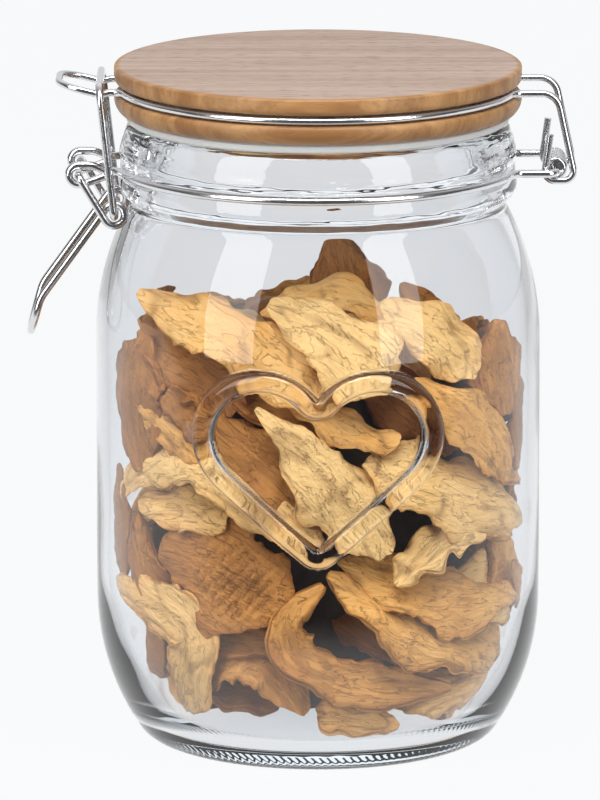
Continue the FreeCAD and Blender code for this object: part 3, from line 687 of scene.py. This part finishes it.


# %% [markdown]
# The slices that lie against the glass in front are listed one by one, from the top of the heap to its foot.
# Each row gives the slice's knots in millimetres, its half widths, the way its broad side looks and its
# character: tone is how pale it is, curl how cupped, blunt how square its ends are.

# %% Slices at the front, upper half
FRONT_TOP = [
    ([(9, 8, 94), (6, 9, 110), (3, 10, 125)], (9, 10, 7), (0.1, -1, 0.1),
     dict(tone=0.36, curl=0.7, blunt=1.8, ruffle=2.2, warped=1.8)),
    ([(-13, -28, 112), (2, -27, 117), (17, -33, 112)], (4, 7, 5), (0, -0.5, 0.85), dict(tone=0.7, curl=-0.6)),
    ([(-42, -22, 116), (-30, -33, 112), (-18, -41, 106), (-6, -45, 98), (3, -46, 93)], (5, 7.5, 8, 7, 4),
     (-0.15, -0.8, 0.6), dict(tone=0.72, curl=-0.55, thick=6)),
    ([(-12, -34, 115), (-1, -41, 110), (9, -46, 104), (15, -47, 96)], (4, 8, 11.5, 9), (0.05, -0.85, 0.5),
     dict(tone=0.95, curl=-0.35, thick=6.5, wrinkle=0.7)),
    ([(14, -38, 116), (26, -37, 108.5), (36, -33, 98)], (5, 7.5, 6), (0.2, -0.8, 0.5),
     dict(tone=0.85, curl=-0.3)),
    ([(20, -20, 116), (25, -23, 107), (28, -27, 97)], (4, 7, 6), (0.5, -0.8, 0.1), dict(tone=0.32)),
    ([(39, -24, 110), (42, -23, 99), (44, -21, 86)], (2.5, 10, 10), (0.5, -0.85, 0.1),
     dict(tone=0.45, blunt=1.6, curl=0.4)),
    ([(46, -14, 94), (47, -12, 84), (47, -12, 70)], (6, 7, 6), (0.8, -0.6, 0), dict(tone=0.35)),
    ([(22, -44, 97), (34, -37, 88), (42, -28, 78), (46, -22, 69)], (5, 8, 8, 5), (0.35, -0.75, 0.6),
     dict(tone=0.62, curl=-0.7, thick=6)),
    ([(-40, -26, 105), (-43.5, -26, 90), (-40, -30, 73)], (8, 11, 9), (-0.55, -0.8, 0),
     dict(tone=0.27, curl=0.6, warped=1.6)),
    ([(-42, -22, 107), (-34, -30, 102), (-25, -36, 96), (-17, -40, 90)], (4, 7.5, 8, 7), (-0.2, -0.9, 0.4),
     dict(tone=0.25)),
    ([(-37, -32, 94), (-30, -38, 89), (-24, -42, 84)], (4, 6, 5), (-0.3, -0.9, 0.2), dict(tone=0.3)),
    ([(-42, -27, 88), (-34, -35, 84), (-25, -41, 79)], (3, 4.6, 5), (-0.3, -0.8, 0.5),
     dict(tone=0.6, curl=-0.5)),
    ([(-27, -41, 90), (-15, -45, 80), (-5, -46, 71), (1, -46, 63)], (4, 7, 7.5, 5), (-0.1, -0.85, 0.5),
     dict(tone=0.35, curl=-0.4)),
    ([(-24, -36, 96), (-14, -37, 93), (-3, -38, 88), (3, -36, 80)], (5, 7, 7, 5), (0, -0.8, 0.6),
     dict(tone=0.4)),
    ([(-8, -38, 96), (1, -42, 89.5), (9, -44, 85), (20, -44, 83)], (5, 6.5, 5.5, 4), (0, -0.6, 0.8),
     dict(tone=0.66, curl=-0.6, thick=3.6)),
    ([(10, -30, 98), (24, -32, 88), (34, -28, 80)], (8, 9, 8), (0, -1, 0.1), dict(tone=0.05)),
    ([(-13.5, -46, 90), (-4, -47.5, 80), (6.5, -48, 67), (16, -46.5, 53)], (2.6, 6.5, 10, 6),
     (0.2, -0.95, 0.15), dict(tone=1.0, blunt=2.2, curl=-0.3, thick=5)),
]
top_slices = slices_object("slices_front_top", FRONT_TOP, seed=3)

# %% [markdown]
# The lower half holds the broad ribbed slice on the left, the long curl in the middle and the small chips
# that have settled at the foot.

# %% Slices at the front, lower half
FRONT_LOW = [
    ([(8, -45, 79), (22, -43, 74), (37, -32, 66), (49, -12, 57)], (4, 10, 11, 7), (0.2, -0.75, 0.6),
     dict(tone=0.88, curl=-0.35, thick=6)),
    ([(-47, -18, 64), (-42, -27, 73), (-32, -37, 77.5), (-20, -44, 73), (-8, -47, 64), (2, -47, 55)],
     (3, 6, 7, 7.5, 8, 5), (-0.15, -0.8, 0.6), dict(tone=0.85, curl=-0.5, thick=4.5)),
    ([(-41, -27, 63), (-31, -36, 65), (-20, -42, 63)], (4, 6, 5), (-0.2, -0.8, 0.5),
     dict(tone=0.75, curl=-0.4)),
    ([(-38, -32, 55), (-27, -40, 53), (-17, -45, 47), (-7, -46, 41)], (7, 12, 13, 8), (-0.1, -0.97, 0.15),
     dict(tone=0.36, gills=1.1, curl=-0.3, thick=6, wrinkle=0.7, waves=1.0)),
    ([(-48, -16, 73), (-48, -17, 57), (-46, -17, 42)], (4, 6, 4), (-0.8, -0.5, 0), dict(tone=0.25)),
    ([(-43, -26, 62), (-41, -27, 49), (-33, -32, 38), (-21, -38, 33), (-8, -42, 31)], (4, 5.5, 6, 6, 5),
     (-0.4, -0.85, 0.2), dict(tone=0.34, curl=0.5)),
    ([(-49, -15, 41), (-40, -32, 41), (-30, -42, 34), (-31, -40, 22), (-32, -33, 11)], (5, 7.5, 8, 7, 4),
     (-0.35, -0.9, 0.25), dict(tone=0.78, curl=0.25, thick=5)),
    ([(1, -46, 48), (-7, -46, 40), (-6.5, -46, 31), (2, -45, 24.5), (14, -43, 21), (30, -36, 19.5)],
     (3.4, 4.4, 5, 5.6, 5.6, 4), (0, -0.93, 0.35), dict(tone=0.46, curl=0.35, thick=7, waves=1.5)),
    ([(2, -45, 50), (15, -44, 40), (29, -38, 31), (44, -24, 23)], (4, 8, 9, 6), (0.05, -0.55, 0.85),
     dict(tone=0.58, curl=-0.5, thick=7)),
    ([(4, -42, 53), (20, -41, 47), (34, -33, 42), (47, -15, 39)], (5, 9.5, 10, 5), (0.1, -0.7, 0.75),
     dict(tone=0.6, curl=-0.4, thick=5)),
    ([(16, -47, 46.5), (22, -45, 53), (30, -40, 58), (38, -34, 57)], (3.4, 6, 6.5, 4), (-0.3, -0.9, 0.35),
     dict(tone=1.0, curl=0.5, thick=2.2, ruffle=2.6, waves=3.5)),
    ([(2, -30, 42), (16, -31, 33), (32, -28, 24)], (7, 9, 7), (0, -0.9, 0.3), dict(tone=0.1, curl=0.5)),
    ([(-29, -34, 18), (-22, -40, 28), (-12, -41, 26), (-4, -41, 15)], (4, 6, 7.5, 6), (0.1, -0.65, 0.75),
     dict(tone=0.45, curl=-0.6)),
    ([(-30, -30, 18), (-20, -33, 17), (-10, -34, 14)], (4, 5, 4), (0, -0.7, 0.7), dict(tone=0.2)),
    ([(-2, -41, 14), (8, -41, 13), (17, -39, 11)], (4, 5, 3.6), (0, -0.8, 0.6), dict(tone=0.6)),
    ([(19, -38, 15), (32, -31, 17), (42, -21, 18)], (4, 5.5, 4), (0.2, -0.7, 0.7), dict(tone=0.65, curl=-0.4)),
    ([(45, -18, 46), (49, -9, 38), (49, 2, 36)], (4, 6, 4), (0.7, -0.6, 0.4), dict(tone=0.4)),
]
low_slices = slices_object("slices_front_low", FRONT_LOW, seed=101)

# %% [markdown]
# The rest of the heap is made by rule: rings of slices round the back and sides, and more lying on top.
# They are farther off, so they have fewer points. A seeded generator gives the same heap each run.

# %% Slices round the back and on top
LAYERS, FIRST_BEARING, LAST_BEARING, BEARING_STEP, RING_TURN = np.arange(14, 100, 12.2), -20, 206, 35, 17
WALL_SEAT, FOOT_SEAT, TOP_COUNT, TOP_Z = 44, 37, 11, 104
dice = np.random.default_rng(11)


def slice_near(bearing, radius, z, length, half_width, tone, lift):
    """A slice that lies along the wall at a bearing: a short bent line with its face to the glass."""
    spread = length / radius / 2
    angles = np.radians(bearing) + np.linspace(-spread, spread, 4)
    rise = np.linspace(-1, 1, 4) * lift + np.array([0, 2, 2, -1]) * dice.uniform(-1, 1)
    line = [(radius * math.cos(a), radius * math.sin(a), z + h) for a, h in zip(angles, rise)]
    out = (math.cos(math.radians(bearing)), math.sin(math.radians(bearing)), dice.uniform(-0.1, 0.7))
    look = dict(tone=tone, curl=dice.uniform(-0.7, 0.5), thick=dice.uniform(4, 6.5))
    look["ruffle"] = dice.uniform(0.8, 2)
    return line, np.array([0.6, 1, 1, 0.6]) * half_width, out, look


rest = []
for layer, height in enumerate(LAYERS):
    for bearing in np.arange(FIRST_BEARING + RING_TURN * (layer % 2), LAST_BEARING, BEARING_STEP):
        seat = WALL_SEAT if height > 25 else FOOT_SEAT
        tone = float(np.clip(dice.normal(0.5, 0.24), 0, 1))
        fall = 0.13 * max(0, height - 50) * max(0, math.cos(math.radians(bearing)))
        rest.append(slice_near(
            bearing + dice.uniform(-7, 7), seat - dice.uniform(0, 3), height - fall + dice.uniform(-3, 3),
            dice.uniform(34, 50), dice.uniform(7, 10.5), tone, dice.uniform(-9, 9)))
for n in range(TOP_COUNT):
    bearing, far = n * 2.4, 6 + 26 * (n / TOP_COUNT) ** 0.6
    x, y = far * math.cos(bearing), far * math.sin(bearing) * 0.9 + 3
    spin = dice.uniform(0, math.pi)
    across = np.array([math.cos(spin), math.sin(spin)]) * dice.uniform(13, 19)
    z = TOP_Z - 0.12 * far - 0.2 * max(0, x) + dice.uniform(-3, 3)
    line = [(x - across[0], y - across[1], z - 3), (x, y, z + 2), (x + across[0], y + across[1], z - 2)]
    out = (dice.uniform(-0.3, 0.3), dice.uniform(-0.5, 0.2), 1)
    tone = float(np.clip(dice.normal(0.5, 0.25), 0, 1))
    rest.append((line, (6, 9, 6), out, dict(tone=tone, curl=dice.uniform(-0.8, 0.5), thick=5.0)))
back_slices = slices_object("slices_back", rest, seed=501, rows=42, around=36)
print(len(FRONT_TOP) + len(FRONT_LOW), "slices set by hand,", len(rest), "by rule")

# %% [markdown]
# A near-black lumpy core fills the middle. It is painted shade: the gaps between slices show it as depth
# and not the far wall. It keeps well inside the slices and shows only as shade between them.

# %% The middle of the heap
CORE_LOW, CORE_HIGH, CORE_SPACE = 9, 98, 20
angle = np.linspace(0, 2 * math.pi, 48, endpoint=False)[None, :]
level = np.linspace(CORE_LOW, CORE_HIGH, 40)[:, None]
core_r = np.clip(inner_wall(level) - CORE_SPACE, 8, 32) * np.clip((102 - level) / 12, 0.3, 1) ** 0.5
core = points_at(core_r * np.cos(angle), core_r * np.sin(angle), level)
lumps = 1 + 0.15 * hills(core, 11.0, 77) + 0.07 * hills(core, 4.5, 78)
core[..., :2] *= lumps[..., None]
heart_of_heap = as_object("painted_shade_core", [capped_skin(core)])
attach(heart_of_heap, "jar")
for piece in (top_slices, low_slices, back_slices, heart_of_heap):
    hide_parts("fruit_heap")

# %% [markdown]
# Dried apple and pear are pale tan on the cut face and browner along the rim, with darker slices among
# them; the wrinkles are darkened with painted shade. Five numbers that the mesh carries steer this: tone,
# how pale the slice is; rim, how near the rim a point is; the third, the painted shade a point gets deep
# in a wrinkle; and run and cross, its place along and across the slice. Noise read in run and cross makes
# strands that follow each slice, and noise read in the object's own place adds mottling, fibres and pores.

# %% Dried fruit
fruit = new_finish("dried fruit")
spot = fruit.place()
tone, rim, crease_shade = fruit.field("tone"), fruit.field("rim"), fruit.field("crease_shade")
mottle = fruit.noise(spot, 90.0, detail=4.0, roughness=0.6, distortion=0.6)
fibre_place = fruit.stretched(spot, (1, 1, 2.6), (0.4, 0.9, 0.3))
fibre = fruit.noise(fibre_place, 420.0, detail=4.0, roughness=0.65)
blotch = fruit.noise(spot, 38.0, detail=2.0)
pore = fruit.node("ShaderNodeTexVoronoi", inputs={"Vector": spot, "Scale": 420.0})
grain_place = {0: fruit.field("run") * 0.28, 1: fruit.field("cross"), 2: tone * 0.05}
grain = fruit.node("ShaderNodeCombineXYZ", inputs=grain_place)
strand = fruit.noise(grain, 1100.0, detail=3.0, roughness=0.6, distortion=0.4)
vein = fruit.noise(grain, 300.0, detail=3.0, roughness=0.55, distortion=1.2)
line = ((vein - 0.5).size()).step(0.014, 0.0)
print("dried fruit so far:", len(fruit.tree.nodes), "nodes")

# %% [markdown]
# The slice's tone picks its colour from a ramp between burnt and pale. Stains over it darken the rim and
# the strands, painted shade turns the creases, folds and rib valleys a deep brown, and thin lines are
# painted a deeper brown.

# %% Colours and relief of the fruit
shade = (tone + (blotch - 0.5) * 0.4 + (mottle - 0.5) * 0.25 + (vein - 0.5) * 0.3).step(0.0, 1.0)
colour = fruit.node(
    "ShaderNodeValToRGB", inputs={0: shade},
    stops=[(0.0, (0.24, 0.08, 0.016)), (0.35, (0.54, 0.225, 0.048)), (0.7, (0.87, 0.45, 0.125)),
           (1.0, (0.97, 0.62, 0.25))],
)
colour = fruit.stained(rim.step(0.35, 1.0) * 0.5, colour, (0.78, 0.58, 0.38))
colour = fruit.stained(strand.step(0.45, 0.75) * 0.5, colour, (0.80, 0.66, 0.50))
# Painted shade: the deeper a point lies in a crease, fold or rib valley, the darker brown it is painted.
colour = fruit.mix(crease_shade.step(0.1, 0.9) * 0.7, colour, (0.26, 0.10, 0.026))
colour = fruit.mix(line * 0.22, colour, (0.30, 0.13, 0.045))
relief = strand * 0.55 + vein * 0.35 + fibre * 0.4 + mottle * 0.35 + pore.step(0.12, 0.3) * 0.15 - line * 0.4
skin = fruit.principled(
    Base_Color=colour, Roughness=0.56 + fibre * 0.2, Specular_IOR_Level=0.4,
    Normal=fruit.bump(relief, 0.0011, 0.9),
)
fruit_finish = fruit.surface(skin)
for piece in (top_slices, low_slices, back_slices):
    piece.data.materials.append(fruit_finish)

# The core's nearly black colour is painted shade for the deep gaps, not the colour of any fruit.
depth = new_finish("painted shade in the middle of the heap")
mottle = depth.noise(depth.place(), 120.0)
core_shade_colour = depth.mix(mottle, (0.009, 0.004, 0.002), (0.04, 0.017, 0.007))
core_skin = depth.principled(Base_Color=core_shade_colour, Roughness=0.8, Normal=depth.bump(mottle, 0.002))
heart_of_heap.data.materials.append(depth.surface(core_skin))

# %% [markdown]
# The lid is turned from one blank of beech: two discs with a groove between them for the wire, and a
# plug below. Turned wood has a smooth profile, so it is a turned surface here as well. The edge of the
# lower disc is rounder than that of the upper one.

# %% Wooden lid
LID_R, LID_LOW, LID_TOP, GROOVE_Z = 50.2, 157.2, 169.0, 163.5
PLUG_R, PLUG_LOW, GROOVE_DEPTH, EDGE_REACH = 40.4, 152.6, 3.2, 1.6


def rounded(corners, radius, count=8):
    """A line through corners with each inner corner replaced by a short curve of that reach."""
    corners = np.asarray(corners, float)
    out = [corners[:1]]
    for before, corner, after in zip(corners, corners[1:], corners[2:]):
        back, ahead = before - corner, after - corner
        reach = min(radius, 0.48 * np.linalg.norm(back), 0.48 * np.linalg.norm(ahead))
        a, b = corner + unit(back) * reach, corner + unit(ahead) * reach
        t = np.linspace(0, 1, count)[:, None]
        out.append((1 - t) ** 2 * a + 2 * t * (1 - t) * corner + t**2 * b)
    out.append(corners[-1:])
    return np.concatenate(out)


def turned_object(name, outline, columns=256):
    """An outline in the r-z plane carried round the axis; its first and last points lie on it."""
    turn = np.linspace(0, 2 * math.pi, columns, endpoint=False)[None, :]
    r, z = outline[1:-1].T[:, :, None]
    return as_object(name, [capped_skin(points_at(r * np.cos(turn), r * np.sin(turn), z))])


lid_outline = rounded(
    [(0.0, PLUG_LOW), (PLUG_R, PLUG_LOW), (PLUG_R, LID_LOW), (LID_R - 1.6, LID_LOW), (LID_R, LID_LOW + 2.4),
     (LID_R, GROOVE_Z - 1.3), (LID_R - GROOVE_DEPTH, GROOVE_Z - 1.2), (LID_R - GROOVE_DEPTH, GROOVE_Z + 1.2),
     (LID_R, GROOVE_Z + 1.3), (LID_R, LID_TOP - 0.3), (LID_R - 0.6, LID_TOP), (0.0, LID_TOP)], EDGE_REACH)
face_rows = np.linspace(4, 38, 8)[:, None] * [1, 0]
lid_outline = np.concatenate([lid_outline[:1], face_rows + [0, PLUG_LOW], lid_outline[1:-1],
                              face_rows[::-1] + [0, LID_TOP] + [6, 0], lid_outline[-1:]])
lid = turned_object("lid_beech", lid_outline)
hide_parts("lid_wood")
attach(lid, "lid")

# %% [markdown]
# Beech is pinkish beige with fine streaks along the grain and short dark flecks. Its cut edge is a deeper
# honey colour, partly because it drinks more oil and partly as painted shade, since the upright side takes
# less light than the top. All of it is noise stretched along the grain, by so much on each axis that a
# streak runs right across the lid and a fleck is about five millimetres long.

# %% Beech wood
beech = new_finish("oiled beech")
spot = beech.place()
px, py, _ = beech.axes(spot)
streak = beech.noise(beech.stretched(spot, (6, 210, 60)), 1.0, detail=5.0, roughness=0.6, distortion=0.5)
fine = beech.noise(beech.stretched(spot, (60, 1900, 700)), 1.0, detail=3.0, roughness=0.6)
fleck = beech.noise(beech.stretched(spot, (190, 2600, 900)), 1.0, detail=1.0)
cloud = beech.noise(beech.stretched(spot, (9, 30, 20)), 1.0, detail=2.0)
edge = ((px * px + py * py) ** 0.5).step(0.0485, 0.0496)
face_colour = beech.mix(streak.step(0.3, 0.7), (0.39, 0.27, 0.21), (0.57, 0.44, 0.365))
face_colour = beech.mix(cloud.step(0.3, 0.75) * 0.4, face_colour, (0.39, 0.28, 0.22))
face_colour = beech.mix(fine.step(0.5, 0.8) * 0.4, face_colour, (0.28, 0.17, 0.11))
face_colour = beech.mix(fleck.step(0.6, 0.68) * 0.7, face_colour, (0.19, 0.10, 0.055))
# The side's colour is partly oil soaked into the cut edge and partly painted shade, darker than the face.
oiled_side_and_shade = beech.mix(streak.step(0.35, 0.65), (0.295, 0.135, 0.045), (0.49, 0.265, 0.105))
oiled_side_and_shade = beech.mix(fine.step(0.45, 0.8) * 0.45, oiled_side_and_shade, (0.22, 0.10, 0.034))
wood = beech.principled(
    Base_Color=beech.mix(edge, face_colour, oiled_side_and_shade), Roughness=0.5 - edge * 0.12 + streak * 0.08,
    Specular_IOR_Level=0.4, Normal=beech.bump(fine * 0.6 + fleck.step(0.74, 0.66) * 0.5, 0.00012),
)
lid.data.materials.append(beech.surface(wood))

# %% [markdown]
# The clip is bright drawn steel wire. Drawing and handling leave it a little uneven, so its gloss varies.
# The soft ring under the lid is milky silicone that lets some light through. Both kinds of piece keep
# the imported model's shapes and only change their finish.

# %% Steel wire and silicone
steel = new_finish("bright steel wire")
spot = steel.place()
haze = steel.noise(spot, 260.0, detail=3.0)
metal = steel.principled(
    Base_Color=(0.75, 0.75, 0.765, 1), Metallic=1.0, Roughness=0.10 + haze * 0.14,
    Normal=steel.bump(steel.noise(spot, 900.0, detail=1.0), 0.00003),
)
steel_finish = steel.surface(metal)

silicone = new_finish("milky silicone")
cloudy = silicone.noise(silicone.place(), 150.0, detail=2.0)
milk = silicone.principled(
    Base_Color=silicone.mix(cloudy, (0.72, 0.72, 0.70), (0.84, 0.84, 0.83)), Roughness=0.35 + cloudy * 0.1,
    Subsurface_Weight=0.3, Subsurface_Scale=0.002, Normal=silicone.bump(cloudy, 0.0001),
)
silicone_finish = silicone.surface(milk)


def refinish(node, finish):
    """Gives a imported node's every material slot one finish."""
    for material_slot in nodes[node].material_slots:
        material_slot.material = finish


for wire in ("neck_wire", "lid_wire", "latch_lever", "latch_link"):
    refinish(wire, steel_finish)
refinish("gasket", silicone_finish)

# %% [markdown]
# The floor is white paper. Lamps and shadows fall on its dull shader, and the camera sees mostly its own
# brightness, with enough of the dull one left to keep the jar's soft shadow. Glass shows its room twice:
# its walls mirror the floor in front of the jar, and what is seen through it is the floor behind. A ray
# that passed through glass counts as both a transmission and a glossy ray, and a mirrored one only as
# glossy, so the two are told apart. Mirrored floor in front is dark, or a veil would lie over the fruit,
# and floor behind, seen through the glass, is a little dimmed towards the sides.

# %% White floor
PAPER_WHITE, PAPER_DULL = (0.985, 0.992, 1.0, 1), (0.34, 0.34, 0.34, 1)
FLOOR_HALF, FLOOR_DROP = 4, 0.0002
floor_mesh = bpy.data.meshes.new("floor")
corners = [(-FLOOR_HALF, -FLOOR_HALF, 0), (FLOOR_HALF, -FLOOR_HALF, 0),
           (FLOOR_HALF, FLOOR_HALF, 0), (-FLOOR_HALF, FLOOR_HALF, 0)]
floor_mesh.from_pydata(corners, [], [(0, 1, 2, 3)])
floor = bpy.data.objects.new("floor", floor_mesh)
floor.location.z = -FLOOR_DROP
bpy.context.scene.collection.objects.link(floor)
paper = new_finish("white paper")
fx, fy, _ = paper.axes(paper.place())
in_front = fy.step(-0.08, -0.22)
through_glass, glossy = paper.ray("Transmission"), paper.ray("Glossy")
shown = paper.ray("Camera") * 0.95 + glossy
dimmed = through_glass * (0.15 + fx.size().step(0.07, 0.5) * 0.4) * (1 - in_front)
level = 1 - dimmed - glossy * in_front * 0.9
dull = paper.node("ShaderNodeBsdfDiffuse", inputs={"Color": PAPER_DULL})
bright = paper.node("ShaderNodeEmission", inputs={"Color": PAPER_WHITE, "Strength": level})
paper_shader = paper.node("ShaderNodeMixShader", inputs={0: shown, 1: dull, 2: bright})
floor_mesh.materials.append(paper.surface(paper_shader))

# %% [markdown]
# The room is white to the camera. To everything else it is bright behind the jar and overhead, fades to
# the sides and is dark in front, which gives the glass its grey edges and the wires their dark lines.
# Dull surfaces get less than a third of it, because the lamps light them.

# %% Room
world = bpy.context.scene.world or bpy.data.worlds.new("room")
bpy.context.scene.world = world
room = Finish(world)
wx, wy, wz = room.axes(room.node("ShaderNodeTexCoord", output="Generated"))
behind = wy.step(-0.1, 0.75) * 0.7 * (1 - wx.size().step(0.2, 0.9) * 0.5)
glow = 0.08 + behind + wz.step(0.3, 0.95) * 0.3
glow = glow + room.ray("Transmission") * wy.step(-0.35, 0.1) * 0.3
direct = room.ray("Camera")
strength = glow * (1 - direct) * (0.3 + room.ray("Glossy") * 0.7) + direct * 0.965
backdrop = room.node("ShaderNodeBackground", inputs={"Color": PAPER_WHITE, "Strength": strength})
room_output = room.tree.nodes.new("ShaderNodeOutputWorld")
room.tree.links.new(backdrop.socket, room_output.inputs["Surface"])
print("room has", len(room.tree.nodes), "nodes")

# %% [markdown]
# Two tall soft boxes stand in front, one at either side. They draw the two upright reflections on the
# shoulder. A third hangs high in front and lights the lid and the top of the heap. None of them shows
# through the glass.

# %% Lights
def soft_box(name, place, aim, width, height, radiance):
    """An area lamp whose face has a given brightness: power = pi x area x brightness."""
    lamp = bpy.data.lights.new(name, "AREA")
    lamp.shape, lamp.size, lamp.size_y = "RECTANGLE", width, height
    lamp.energy = math.pi * width * height * radiance
    made = bpy.data.objects.new(name, lamp)
    towards = np.array(aim, float) - np.array(place, float)
    yaw = math.atan2(-towards[0], towards[1])
    pitch = math.atan2(towards[2], math.hypot(towards[0], towards[1]))
    made.location = place
    made.rotation_euler = (math.pi / 2 + pitch, 0, yaw)
    made.visible_camera = False
    made.visible_transmission = False
    bpy.context.scene.collection.objects.link(made)
    print(name, round(lamp.energy, 2), "W")


soft_box("left_box", (-0.36, -0.36, 0.42), (0, 0, 0.30), 0.27, 0.76, 3.95)
soft_box("right_box", (0.34, -0.38, 0.42), (0, 0, 0.30), 0.24, 0.76, 3.95)
soft_box("top_box", (0.0, -0.42, 0.95), (0, 0, 0.1), 0.5, 0.35, 10.0)
